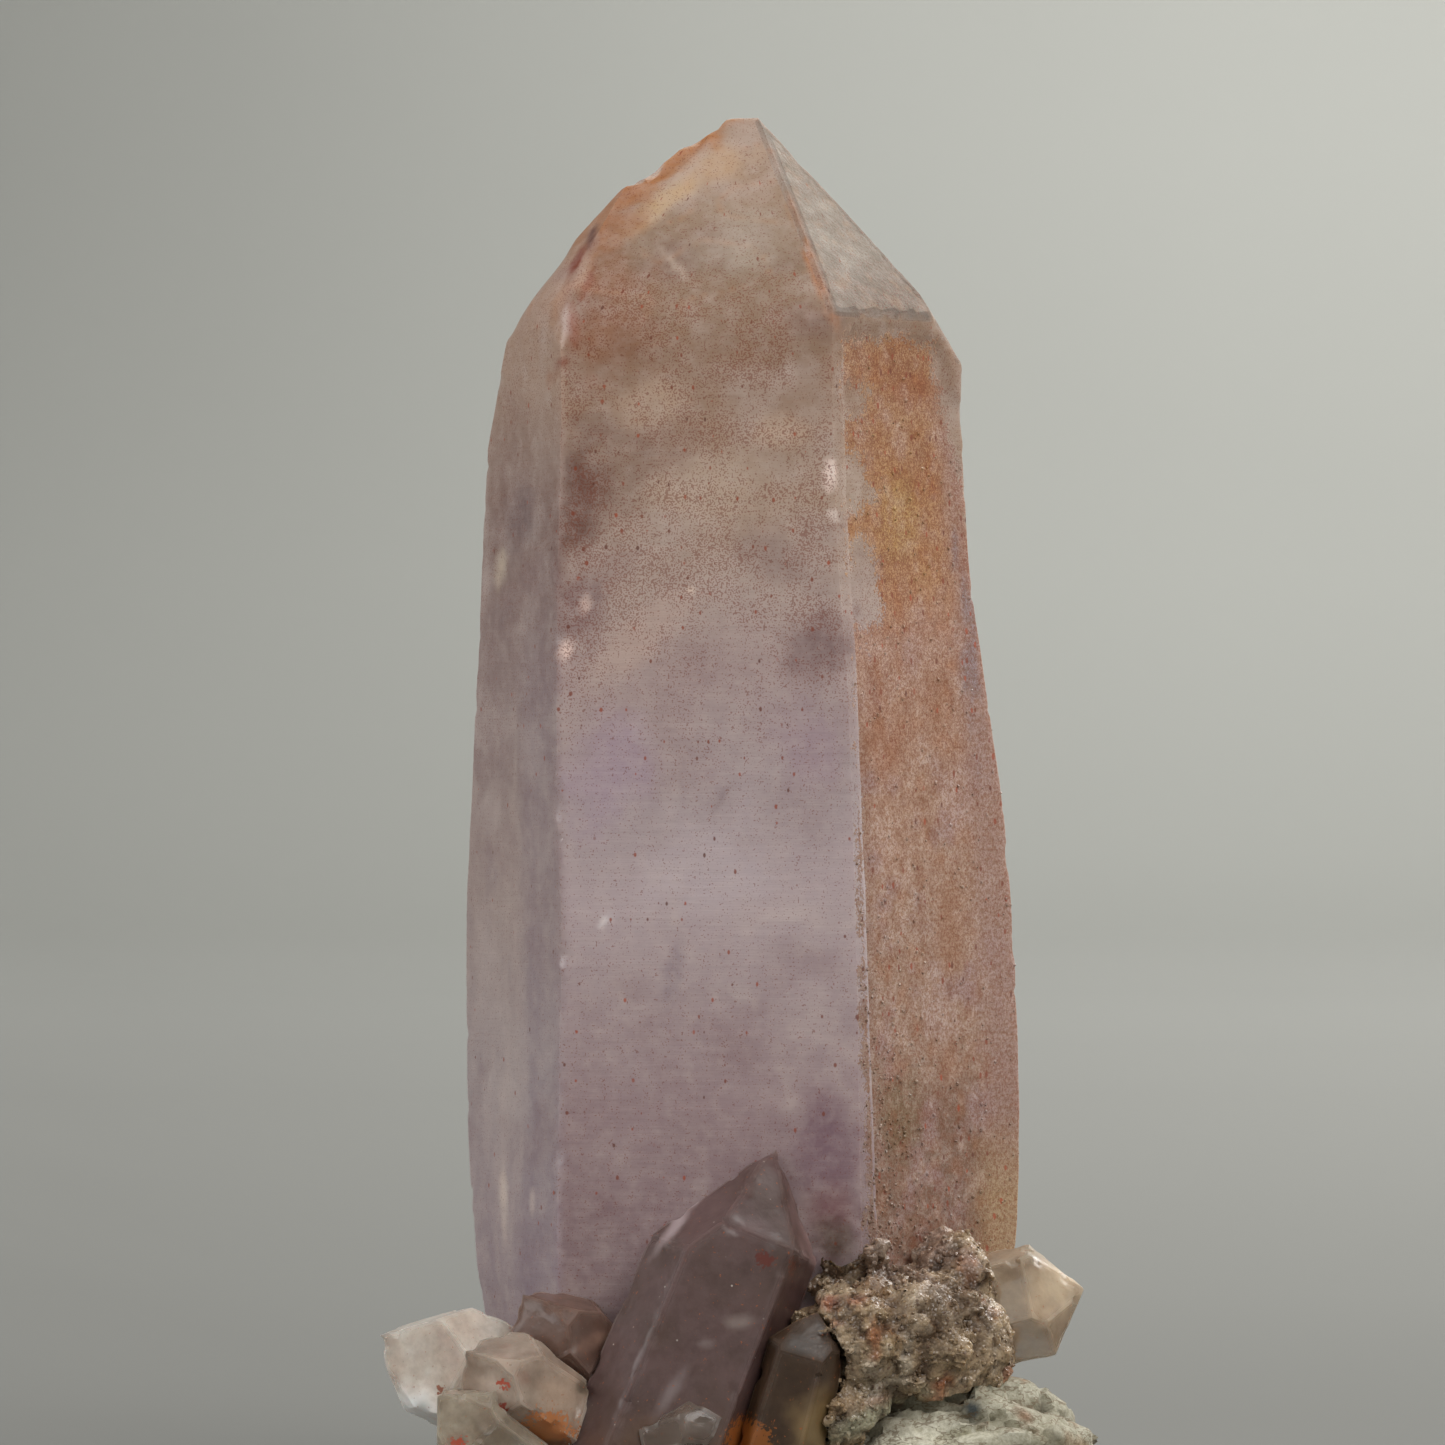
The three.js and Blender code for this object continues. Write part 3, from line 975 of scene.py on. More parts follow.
# Single clouds and veils of the front face and of the left face, with painted highlights near the tip.
CLOUDS_AND_HIGHLIGHTS = [
    Patch(-10.8, 64.0, 3.0, 7.5, srgb(118, 84, 76), 0.85, -14),
    Patch(-7.4, 65.5, 2.4, 6.0, srgb(150, 120, 106), 0.5, -8),
    Patch(-8.4, 74.4, 4.2, 4.8, srgb(160, 114, 86), 0.7, 0),
    Patch(-9.4, 74.2, 2.2, 2.6, srgb(172, 128, 102), 0.6, 0),
    Patch(-10.2, 57.6, 2.2, 4.0, srgb(140, 110, 112), 0.6, -30),
    Patch(-6.4, 56.0, 6.5, 2.0, srgb(216, 188, 176), 0.6, 42),
    Patch(-2.5, 65.0, 5.2, 2.6, srgb(212, 188, 170), 0.7, 10),
    Patch(-6.2, 70.2, 3.0, 2.2, srgb(220, 192, 170), 0.5, 20),
    Patch(2.2, 68.4, 2.6, 1.6, srgb(222, 192, 168), 0.5, 0),
    Patch(2.0, 60.8, 4.0, 2.2, srgb(160, 134, 130), 0.5, -20),
    Patch(4.6, 55.0, 2.9, 3.4, srgb(142, 114, 114), 0.9, -40),
    Patch(-8.6, 47.0, 3.8, 5.0, srgb(190, 166, 184), 0.6, -16),
    Patch(3.8, 49.2, 3.6, 4.4, srgb(180, 154, 166), 0.6, 0),
    Patch(-2.8, 41.2, 7.0, 4.4, srgb(214, 198, 202), 0.7, 8),
    Patch(-4.4, 35.4, 0.8, 2.9, srgb(168, 150, 156), 0.7, -10),
    Patch(-1.6, 45.6, 0.5, 1.6, srgb(158, 138, 142), 0.6, -32),
    Patch(5.2, 24.0, 3.6, 4.4, srgb(130, 96, 112), 0.8, 0),
    Patch(5.4, 20.6, 2.4, 2.4, srgb(138, 92, 96), 0.7, 0),
    Patch(-0.4, 80.6, 4.0, 3.2, srgb(196, 180, 164), 0.6, 12, -8.0, 8.0),
    Patch(-8.4, 78.8, 3.0, 3.2, srgb(162, 114, 86), 0.6, 20, -9.0, 9.0),
    # Painted highlights: a cream glow near the tip and a glow stripe along the end face.
    Patch(-1.6, 85.4, 3.4, 1.7, srgb(212, 174, 136), 0.6, 20, -4.0, 7.0),
    Patch(-5.6, 82.6, 4.4, 1.1, srgb(226, 190, 146), 0.6, 38, -6.0, 7.0),
    Patch(-4.2, 78.8, 2.0, 0.28, srgb(218, 198, 180), 0.5, -50, -9.0, 7.0),
]
LEFT_CLOUDS = [
    Patch(-14.2, 63.0, 1.7, 3.2, srgb(128, 102, 102), 0.8, -18, -7.0),
    Patch(-16.0, 57.2, 1.6, 2.2, srgb(132, 110, 116), 0.7, -30, -7.0),
    Patch(-15.5, 60.0, 0.8, 2.4, srgb(246, 226, 200), 0.8, -6, -7.0),
    Patch(-16.4, 51.8, 0.7, 2.2, srgb(236, 220, 210), 0.6, 0, -7.0),
    Patch(-16.3, 45.8, 0.6, 2.0, srgb(222, 206, 198), 0.5, 0, -7.0),
    Patch(-16.0, 41.0, 0.9, 2.4, srgb(146, 130, 144), 0.5, 0, -7.0),
    Patch(-16.1, 38.0, 0.7, 0.7, srgb(236, 224, 218), 0.7, 0, -7.0),
    Patch(-15.2, 20.6, 0.4, 3.4, srgb(232, 212, 200), 0.9, 2, -7.0),
    Patch(-13.3, 20.6, 0.3, 1.4, srgb(226, 206, 198), 0.7, 0, -7.0),
]
# Rusty edges, cracks and stains, a painted shadow in the hollow by the foot, and small bright painted glints.
STAINS_AND_SHADOW = [
    Patch(-5.4, 85.2, 8.0, 1.2, srgb(186, 120, 60), 0.85, 39, -4.0, 9.0),
    Patch(-8.0, 81.6, 3.2, 2.2, srgb(172, 118, 84), 0.75, 39, -4.0, 9.0),
    Patch(3.6, 81.4, 0.6, 6.4, srgb(200, 132, 84), 0.8, 18, -9.0, 12.0),
    Patch(-10.2, 78.4, 0.4, 1.2, srgb(204, 172, 152), 0.5, -22, -9.0, 9.0),
    Patch(-9.6, 80.9, 0.3, 1.0, srgb(112, 54, 30), 1.0, -10, -9.0, 9.0),
    Patch(-10.6, 79.2, 0.28, 1.4, srgb(140, 66, 42), 1.0, -25, -9.0, 9.0),
    Patch(-9.9, 77.6, 0.26, 1.8, srgb(150, 84, 56), 0.9, -20, -9.0, 9.0),
    # Painted shadow: the hollow between the leaning point, this crystal and the crust.
    Patch(5.6, 17.6, 2.2, 2.2, srgb(92, 66, 50), 0.9, 0, -11.0, 7.0),
    Patch(-10.6, 75.0, 0.7, 2.2, srgb(160, 92, 64), 0.8, 8, -11.0, 9.0),
    Patch(-11.2, 72.8, 0.8, 0.6, srgb(150, 78, 52), 0.8, 0, -11.0, 9.0),
    Patch(-9.4, 71.9, 2.6, 0.9, srgb(180, 124, 94), 0.5, 0, -11.0, 9.0),
    Patch(-14.2, 76.6, 1.0, 2.4, srgb(200, 142, 98), 0.6, -14, -7.0, 9.0),
]
GLINTS = [
    Patch(5.3, 65.6, 0.45, 1.5, srgb(255, 232, 222), 1.0, 0, -13.0, 4.0),
    Patch(5.4, 63.3, 0.4, 0.7, srgb(255, 238, 230), 1.0, 0, -13.0, 4.0),
    Patch(-11.2, 54.9, 0.6, 1.1, srgb(255, 226, 216), 1.0, -28, -12.0, 4.0),
    Patch(-9.9, 57.8, 0.4, 0.9, srgb(250, 218, 206), 0.7, -20, -12.0, 4.0),
    Patch(-8.6, 38.2, 0.3, 0.9, srgb(255, 246, 246), 1.0, -40, -13.0, 4.0),
    Patch(-3.4, 58.6, 0.5, 0.35, srgb(250, 226, 208), 0.8, 0, -13.0, 4.0),
]


@dataclass(frozen=True)
class AmethystFinish:
    """Hazy lilac quartz that turns beige and rust-specked towards its tip."""

    name: str = "hazy_amethyst"
    coat_reach: float = 8.0  # millimetres of the coat's field that its attribute holds
    across: Vector = look(FRONT_LOOK + SIDE_TURN + 90)  # the way across the right face
    end_out: Vector = look(FRONT_LOOK + SIDE_TURN, 90 - END_SLOPE)  # the way its end face looks

    def paint(self, mesh: bpy.types.Mesh) -> None:
        """Keeps the crystal's colours and its coat's place on its mesh.

        Args:
            mesh: the large crystal's mesh.
        """
        place, out = corners(mesh), outward(mesh)
        left = soft_step(out @ np.array(Side.LEFT.out), 0.55, 0.8)
        right = soft_step(out @ np.array(Side.RIGHT.out), 0.6, 0.85)
        end = soft_step(out @ np.array(self.end_out), 0.9, 0.96)
        inside = self.coat_field(place)
        coat = soft_step(inside, 0, 0.4) * right
        store_colour(mesh, "haze", self.haze(place, left, end))
        store_colour(mesh, "rust", self.rust(place))
        edge = np.clip(inside / self.coat_reach + 0.5, 0, 1) * right
        store_colour(mesh, "wear", np.stack([self.crowd(place, left, right), edge, end], axis=1))
        across = place @ np.array(self.across)
        low_left = soft_step(place[:, 2], 40, 24) * soft_step(across, 2, -5)
        store(mesh, "druse", coat * soft_step(place[:, 2], 78, 70) * (0.1 + 0.9 * low_left))

    def haze(self, place: np.ndarray, left: np.ndarray, end: np.ndarray) -> np.ndarray:
        """The hazy quartz's colours: zones by height, clouds, veils, bands and stains, and painted
        highlights, glints, shadow and sheen.

        Args:
            place: the corners in the crystal's frame.
            left: 1 on the left face.
            end: 1 on the right end face.

        Returns:
            One colour for each corner.
        """
        drift = np.stack([cloudy(place, 5.0, seed) for seed in (111, 112, 113)], axis=1)
        bent = place + 1.6 * drift
        height = place[:, 2] + 3.0 * cloudy(place, 9, 101)
        flank = clouded(toned(height, LEFT_TONES), bent, FLANK_BANDS)
        fold = soft_step(place[:, 0], -14.6, -13.4) * soft_step(place[:, 2], 62, 48)
        flank = blend(fold * 0.34, flank, srgb(138, 118, 138))
        body = clouded(blend(left, toned(height, FRONT_TONES), flank), bent, HAZE_CLOUDS)
        ragged = 0.3 * cloudy(place, 2.4, 104) + 0.14 * cloudy(place, 0.9, 106)
        body = patched(body, place, CLOUDS_AND_HIGHLIGHTS, ragged, 1 - left)
        body = patched(body, place, LEFT_CLOUDS, ragged, left)
        body = patched(body, place, STAINS_AND_SHADOW, 2.2 * ragged)
        seams = soft_step(np.abs(noise(place, 2.6, 107)), 0.09, 0.0) * soft_step(place[:, 2], 72, 78)
        body = blend(seams * 0.25, body, srgb(206, 150, 110))
        body = patched(body, place, GLINTS, ragged)
        return blend(end * 0.9, body, self.sheen(place))

    def sheen(self, place: np.ndarray) -> np.ndarray:
        """The right end face: silvery, darker towards the right, with rusty seams.

        Args:
            place: the corners in the large crystal's frame, one row each.

        Returns:
            One colour for each corner.
        """
        silver = soft_step(cloudy(place, (1.6, 1.6, 0.9), 108), -0.5, 0.9)
        shaded = soft_step(place[:, 2] - 0.7 * place[:, 0], 75.5, 71.5)
        seam = soft_step(np.abs(cloudy(place, 1.4, 109)), 0.12, 0.0)
        return layered(np.array([srgb(140, 130, 118)]), [
            (silver, srgb(168, 159, 148)),
            (shaded * 0.7, srgb(114, 100, 88)),
            (seam * 0.3, srgb(186, 146, 114)),
        ])

    def rust(self, place: np.ndarray) -> np.ndarray:
        """The right face's coat, from ochre at the top to pinkish below.

        Args:
            place: the corners in the large crystal's frame, one row each.

        Returns:
            One colour for each corner.
        """
        across, high = place @ np.array(self.across), place[:, 2]
        smear, blotch = cloudy(place, 1.2, 122), cloudy(place, 2.6, 123)
        crumb = cloudy(place, (0.5, 0.5, 0.7), 125)
        torn, frayed = 0.35 * smear, 0.25 * crumb
        yellow = soft_step(COAT_YELLOW.reach(across, high) + 0.3 * blotch, 1.0, 0.2)
        upper = soft_step(high, 44, 60)
        streaks = soft_step(cloudy(place, (1.2, 1.2, 3.4), 126), 0.1, 0.6)
        lilac = streaks * soft_step(np.abs(across - 6.2), 1.8, 0.6) * soft_step(high, 44, 50)
        grain = soft_step(across, -3.6, -6.8) * soft_step(high, 56, 44)
        ochre = soft_step(high, 27, 20) * soft_step(across, 4, 8)
        return layered(toned(high + 5 * cloudy(place, 6, 121), COAT_TONES), [
            (soft_step(smear, 0.05, 0.7) * (0.3 + 0.3 * upper), srgb(184, 118, 66)),
            (soft_step(smear, -0.05, -0.8) * 0.5, srgb(212, 186, 176)),
            (soft_step(blotch, 0.1, 0.7) * (0.7 - 0.5 * upper), srgb(180, 152, 154)),
            (soft_step(blotch, -0.3, -0.9) * 0.4, srgb(160, 112, 82)),
            (yellow * 0.5, srgb(206, 170, 104)),
            *(
                (soft_step(oval.reach(across, high) + torn + frayed, 1.1, 0.4) * share, colour)
                for oval, colour, share in COAT_BLOTCHES
            ),
            (soft_step(crumb, 0.1, 0.7) * 0.45, srgb(150, 96, 62)),
            (soft_step(crumb, -0.1, -0.7) * 0.35, srgb(228, 206, 194)),
            (soft_step(across + high * 0.07, 7.6, 10.2) * 0.7, srgb(182, 152, 144)),
            (lilac * 0.7, srgb(158, 144, 152)),
            (grain * 0.4, srgb(140, 116, 108)),
            (ochre * 0.75, srgb(186, 160, 122)),
        ])

    def coat_field(self, place: np.ndarray) -> np.ndarray:
        """How far inside the coat's outline each place of the right face lies.

        Args:
            place: the corners in the large crystal's frame, one row each.

        Returns:
            A distance in millimetres for each corner, below 0 outside the coat.
        """
        across, high = place @ np.array(self.across), place[:, 2]
        low_rim = soft_step(high, 50, 20) * 0.5
        outline = [
            across + 6.6 + low_rim,
            74.5 - high - across * 0.05,
            (6.9 - across) * 0.8 + (60 - high) * 0.3 + 1.5,
            6.2 + soft_step(high, 71, 64) * 9 - across,
        ]
        inside = np.min(outline, axis=0)
        for gap in COAT_GAPS:
            outside = (gap.reach(across, high) - 1) * min(gap.wide, gap.tall)
            inside = np.minimum(inside, outside)
        return inside + 0.8 * cloudy(place, 1.4, 124)

    def crowd(self, place: np.ndarray, left: np.ndarray, right: np.ndarray) -> np.ndarray:
        """How densely fine iron specks lie: most under the tip, few towards the foot.

        Args:
            place: the corners in the large crystal's frame, one row each.
            left: 1 on the left face.
            right: 1 on the right face.

        Returns:
            A number from 0 to 1 for each corner.
        """
        upper = soft_step(place[:, 2] + 5 * cloudy(place, 5, 131), 43, 61)
        below_end = soft_step(place[:, 2], 82, 75)
        knots = soft_step(cloudy(place, 1.9, 132), -0.75, 0.45)
        line = soft_step(np.abs(place[:, 2] - 60.5), 0.4, 0.1) * soft_step(place[:, 0], -7, -5)
        dense = upper * (0.2 + 0.8 * below_end) * knots * (1 - 0.6 * left) * (1 - 0.5 * right)
        return np.clip(0.07 + 0.93 * dense + 0.3 * line, 0, 1)

    def build(self) -> bpy.types.Material:
        """Makes the material.

        Returns:
            The material, for the large crystal.
        """
        g = Graph(self.name)
        wrap = g.wrapped()
        crowd, edge, end = g.channels(g.attribute("wear"))
        fine = g.noise(0.9, 3, 3, 0.65)
        light = g.channels(g.cells(0.15, 24, wrap)[1])[0]
        lumps = g.noise(0.24, 58, 2, 0.7)
        inside = (edge - 0.5) * self.coat_reach + (lumps - 0.5) * 3.4 + light * 0.4
        coat = inside.step(0.2, 0.6)
        shade = g.mix((lumps + light * 0.2).step(0.4, 0.76), srgb(220, 196, 174), WHITE)
        body = g.mix((fine - 0.4) * 0.65, g.attribute("haze"), srgb(232, 214, 206))
        body = g.mix(coat, body, g.tint(g.attribute("rust"), shade))
        crowded = crowd.most(coat * (0.45 + 1.2 * crowd))
        stipple = (g.noise(0.1, 24, 0, 0.5) + 0.22 * crowded).step(0.7, 0.78)
        body = g.mix(stipple * 0.55, body, srgb(134, 64, 38))
        gap, tone = g.cells(Vector((0.6, 1.0, 1.0)), 34, wrap)
        pale, chance, size = g.channels(tone)
        many = 0.045 + 0.22 * crowd + 0.06 * coat
        specks = g.scattered(gap, chance, many, size * 0.1 + 0.05 + 0.07 * coat)
        body = g.mix(specks * 0.8, body, g.mix(pale, srgb(104, 52, 36), srgb(184, 82, 46)))
        normal = self.relief(g, wrap, light * coat, end)
        milky = g.principled(
            Base_Color=body,
            Roughness=0.24 + 0.24 * coat + 0.2 * fine + 0.44 * end,
            IOR=QUARTZ_IOR,
            Subsurface_Weight=0.5,
            Subsurface_Radius=(1.0, 0.85, 0.8),
            Subsurface_Scale=1.0 * MM,
            Normal=normal,
        )
        clear = g.principled(
            Base_Color=g.mix(0.5, body, srgb(244, 228, 234)),
            Roughness=0.15,
            IOR=QUARTZ_IOR,
            Transmission_Weight=1.0,
            Normal=normal,
        )
        share = (0.16 - 0.14 * coat - 0.08 * crowd) * (1 - end)
        return g.finish(g.node("ShaderNodeMixShader", inputs={0: share, 1: milky, 2: clear}))

    def relief(self, g: Graph, wrap: Value, grain: Value, end: Value) -> Value:
        """Fine growth lines, the coat's grain and the right end face's flakes.

        Args:
            g: the material's graph.
            wrap: the place round the crystal.
            grain: the coat's height.
            end: 1 on the right end face.

        Returns:
            The normal.
        """
        turned = {"Vector": g.place, "Angle": math.radians(-46)}
        slope = g.node("ShaderNodeVectorRotate", {"rotation_type": "Y_AXIS"}, turned, "Vector")
        lines = g.moved(wrap, Vector((0.12, 1.6, 0)), Vector((0, 0, 0)))
        streaks = g.moved(slope, Vector((3.4, 4.0, 9.0)), Vector((9, 2, 5)))
        where = g.node("ShaderNodeMix", {"data_type": "VECTOR"}, {0: end, 4: lines, 5: streaks}, 1)
        waves = g.waves(where, 3.0, 0.62)
        height = waves * (0.6 + 1.6 * end) + grain * 0.5
        return g.bump(height, 0.08)


@dataclass(frozen=True)
class QuartzLook:
    """A small crystal's tones, soft patches, some of them painted light and shade, and sharp stains, and how
    milky it is from 0 to 1.
    """

    tone: Colour
    deep_tone: Colour
    edge_tone: Colour
    milky: float
    patches: list[Patch] = field(default_factory=list)
    stains: list[Patch] = field(default_factory=list)


@dataclass(frozen=True)
class QuartzFinish:
    """See-through quartz with clouds, veils and stains, and an absorbing body."""

    name: str
    body: Colour
    density: float

    def paint(self, mesh: bpy.types.Mesh, style: QuartzLook, near: np.ndarray, seed: int) -> None:
        """Keeps a crystal's colours and its milkiness on its mesh.

        Args:
            mesh: the crystal's mesh.
            style: its tones and patches.
            near: how near each corner is to a sharp edge.
            seed: which set of clouds.
        """
        place = corners(mesh)
        cloud = cloudy(place, 2.6, seed)
        body = blend(soft_step(cloud, -0.8, 0.8), np.array([style.deep_tone]), style.tone)
        body = blend(near * 0.05, body, style.edge_tone)
        ragged = 0.3 * cloudy(place, 1.2, seed + 5)
        body = patched(body, place, style.patches, ragged)
        rust, stained = np.tile(srgb(170, 96, 54), (len(place), 1)), cloud * 0
        for stain in style.stains:
            share = stain.share(place, ragged * 0)
            rust = blend(soft_step(share, 0, 0.2), rust, stain.colour)
            stained = np.maximum(stained, share)
        shown = np.max([patch.share(place, ragged) for patch in style.patches] or [cloud * 0], axis=0)
        milky = np.clip(style.milky + 0.14 * cloudy(place, 1.7, seed + 9) + 0.8 * shown, 0, 1)
        store_colour(mesh, "haze", body)
        store_colour(mesh, "rust", rust)
        store_colour(mesh, "wear", np.stack([milky, stained, near], axis=1))

    def build(self) -> bpy.types.Material:
        """Makes the material.

        Returns:
            The material, for one or more of the smaller points.
        """
        g = Graph(self.name)
        share, stained, near = g.channels(g.attribute("wear"))
        fine = g.noise(0.7, 3, 3, 0.65)
        body = g.tint(g.attribute("haze"), g.mix(fine.step(0.3, 0.7), srgb(246, 243, 242), WHITE))
        stain = (stained + (g.noise(0.22, 41, 2, 0.6) - 0.5) * 2.4).step(0.4, 0.6)
        body = g.mix(stain * 0.9, body, g.attribute("rust"))
        gap, tone = g.cells(0.8, 31)
        light, chance, _ = g.channels(tone)
        speck = g.mix(light, srgb(90, 50, 34), srgb(250, 240, 230))
        body = g.mix(g.scattered(gap, chance, 0.3, 0.06) * 0.8, body, speck)
        relief = g.bump(g.noise(1.1, 5, 3, 0.6), 0.03)
        milky = g.principled(
            Base_Color=body,
            Roughness=0.24 + 0.2 * fine + 0.46 * near,
            IOR=QUARTZ_IOR,
            Subsurface_Weight=0.5,
            Subsurface_Radius=(1.0, 0.8, 0.7),
            Subsurface_Scale=1.2 * MM,
            Normal=relief,
        )
        clear = g.principled(
            Base_Color=WHITE,
            Roughness=0.06 + 0.34 * near,
            IOR=QUARTZ_IOR,
            Transmission_Weight=1.0,
            Normal=relief,
        )
        factor = (share + (fine - 0.5) * 0.3).most(stain).least(0.97)
        surface = g.node("ShaderNodeMixShader", inputs={0: factor, 1: clear, 2: milky})
        inputs = {"Color": self.body, "Density": self.density}
        return g.finish(surface, g.node("ShaderNodeVolumeAbsorption", inputs=inputs))


DRUSE_CLOUDS = [
    Cloud(3.0, 141, -0.6, 0.7, 1.0, srgb(188, 168, 142)),
    Cloud(1.4, 142, 0.2, 0.7, 0.7, srgb(150, 116, 82)),
    Cloud(1.1, 143, 0.35, 0.75, 0.6, srgb(232, 220, 202)),
    Cloud(2.0, 144, 0.4, 0.8, 0.7, srgb(172, 100, 56)),
]
DRUSE_PATCHES_AND_SHADOW = [
    Patch(9.0, 18.5, 7.5, 4.2, srgb(176, 148, 136), 0.85, -8, -12, 12),
    # Painted shadow in the hollow between the leaning point, the large crystal and the crust.
    Patch(5.9, 17.7, 2.2, 2.2, srgb(80, 74, 56), 0.85, -20, -14, 9),
    Patch(12.8, 14.4, 3.2, 3.4, srgb(104, 82, 60), 0.75, 0, -14, 10),
    Patch(8.8, 17.2, 3.6, 2.2, srgb(104, 82, 64), 0.8, 0, -14, 9),
    Patch(9.6, 14.0, 2.6, 1.8, srgb(132, 108, 84), 0.6, 0, -15, 9),
    Patch(6.4, 9.4, 1.7, 2.2, srgb(196, 168, 134), 0.8, 0, -18, 9),
    Patch(4.0, 15.5, 0.9, 2.4, srgb(84, 60, 44), 0.8, 0, -16, 8),
    Patch(5.2, 14.8, 1.0, 0.8, srgb(188, 108, 84), 0.8, 0, -16, 8),
    Patch(6.8, 15.0, 1.1, 0.6, srgb(190, 118, 90), 0.8, 0, -16, 8),
    Patch(5.6, 13.6, 0.9, 0.5, srgb(180, 104, 80), 0.7, 0, -16, 8),
    Patch(8.0, 9.6, 3.2, 2.4, srgb(122, 110, 94), 0.7, 0, -18, 9),
    Patch(8.2, 8.8, 1.3, 0.5, srgb(206, 176, 156), 0.8, 8, -18, 9),
    Patch(7.0, 7.4, 6.2, 1.0, srgb(196, 196, 172), 0.85, 22, -16, 11),
    Patch(0.4, 6.6, 1.7, 1.8, srgb(176, 98, 40), 0.95, 0, -18, 9),
    Patch(-2.2, 5.6, 1.7, 0.8, srgb(150, 84, 40), 0.9, 0, -18, 9),
    Patch(12.4, 9.8, 1.5, 0.7, srgb(166, 92, 46), 0.8, 20, -12, 9),
    Patch(-12.4, 6.4, 2.0, 1.5, srgb(160, 96, 48), 0.8, 0, -16, 9),
]


@dataclass(frozen=True)
class DruseFinish:
    """Tiny quartz crystals with rust, greenish grey and pinkish beige patches, and painted shade and
    highlight.
    """

    name: str = "druse_quartz"

    def paint(self, mesh: bpy.types.Mesh, relief: np.ndarray) -> None:
        """Keeps the druse's colours on its mesh.

        Args:
            mesh: the crust's mesh.
            relief: for each corner, from -1 in a pit to 1 on a top.
        """
        place = corners(mesh)
        body = clouded(np.array([srgb(172, 148, 116)]), place, DRUSE_CLOUDS)
        body = patched(body, place, DRUSE_PATCHES_AND_SHADOW, 0.35 * cloudy(place, 1.1, 145))
        # Painted shade in the pits and painted highlight on the tops.
        body = layered(body, [
            (soft_step(relief, 0.1, -0.5) * 0.8, srgb(84, 60, 42)),
            (soft_step(relief, 0.2, 0.7) * 0.34, srgb(222, 204, 184)),
        ])
        grain = lattice(np.floor(place / 0.45), 146)
        store_colour(mesh, "haze", body * (0.86 + 0.26 * grain)[:, None])

    def build(self) -> bpy.types.Material:
        """Makes the material.

        Returns:
            The material, for the crust and its small crystals.
        """
        g = Graph(self.name)
        gap, tone = g.cells(0.24, 3)
        light, chance, shine = g.channels(tone)
        body = g.tint(g.attribute("haze"), g.mix(light, srgb(204, 197, 190), srgb(255, 252, 248)))
        body = g.mix(g.scattered(gap, chance, 0.08, 0.45) * 0.6, body, srgb(84, 50, 32))
        surface = g.principled(
            Base_Color=body,
            Roughness=0.18 + 0.4 * shine,
            IOR=QUARTZ_IOR,
            Subsurface_Weight=0.3,
            Subsurface_Radius=(1.0, 0.8, 0.6),
            Subsurface_Scale=0.6 * MM,
            Normal=g.bump(light - gap, 0.07),
        )
        return g.finish(surface)


STONE_CLOUDS = [
    Cloud((4.2, 2.0, 1.0), 151, -0.3, 0.7, 1.0, srgb(198, 194, 176)),
    Cloud((3.0, 1.6, 0.7), 152, 0.15, 0.7, 0.6, srgb(142, 138, 116)),
    Cloud(3.4, 153, 0.1, 0.8, 0.5, srgb(158, 160, 140)),
    Cloud(1.2, 154, 0.5, 0.85, 0.7, srgb(168, 110, 68)),
]
STONE_PATCHES_LIGHT_AND_SHADE = [
    Patch(18.6, 6.0, 3.2, 1.8, srgb(168, 162, 140), 0.7, 0, -12, 12),
    # Painted light, lifting the shade under the crust's overhang.
    Patch(10.6, 6.4, 4.4, 2.4, srgb(250, 246, 228), 0.9, 15, -15, 9),
    Patch(13.2, 6.4, 2.4, 0.9, srgb(232, 228, 208), 0.7, 0, -16, 9),
    # Painted shade in the hole.
    Patch(14.0, 8.0, 0.9, 0.7, srgb(72, 82, 88), 0.95, -40, -14, 9),
    Patch(9.0, 7.0, 4.0, 0.9, srgb(120, 108, 88), 0.5, 10, -14, 9),
    Patch(17.2, 7.6, 1.0, 0.5, srgb(150, 96, 60), 0.7, -30, -14, 9),
    Patch(16.6, 5.4, 0.5, 0.4, srgb(128, 74, 48), 0.8, 0, -16, 9),
    Patch(20.6, 5.6, 2.2, 0.8, srgb(178, 138, 96), 0.6, -46, -12, 9),
]


@dataclass(frozen=True)
class StoneFinish:
    """Matt pale green-grey stone with fibrous bands, pits and rust spots, and painted light and shade."""

    name: str = "fibrous_stone"

    def paint(self, mesh: bpy.types.Mesh, relief: np.ndarray) -> None:
        """Keeps the stone's colours on its mesh.

        Args:
            mesh: the stone's mesh.
            relief: for each corner, from -1 in a crease to 1 on a fold.
        """
        place = corners(mesh)
        # Painted shade in the creases and painted highlight on the folds.
        body = layered(clouded(np.array([srgb(196, 191, 172)]), place, STONE_CLOUDS), [
            (soft_step(relief, 0.0, -0.5) * 0.75, srgb(104, 96, 78)),
            (soft_step(relief, 0.2, 0.7) * 0.5, srgb(216, 214, 200)),
        ])
        body = patched(body, place, STONE_PATCHES_LIGHT_AND_SHADE, 0.4 * cloudy(place, 1.3, 155))
        store_colour(mesh, "haze", body)

    def build(self) -> bpy.types.Material:
        """Makes the material.

        Returns:
            The material, for the matrix stone.
        """
        g = Graph(self.name)
        fine = g.noise(0.36, 5, 4, 0.7)
        colour = g.tint(g.attribute("haze"), g.mix(fine.step(0.3, 0.7), srgb(206, 204, 196), WHITE))
        middle = g.noise(Vector((2.2, 2.2, 1.0)), 6, 3, 0.7) - 0.5
        cracks = (middle * middle).step(0.0007, 0.0001)
        colour = g.mix(cracks * 0.6, colour, srgb(112, 92, 68))
        return g.finish(g.principled(Base_Color=colour, Roughness=0.85, Normal=g.bump(fine, 0.12)))


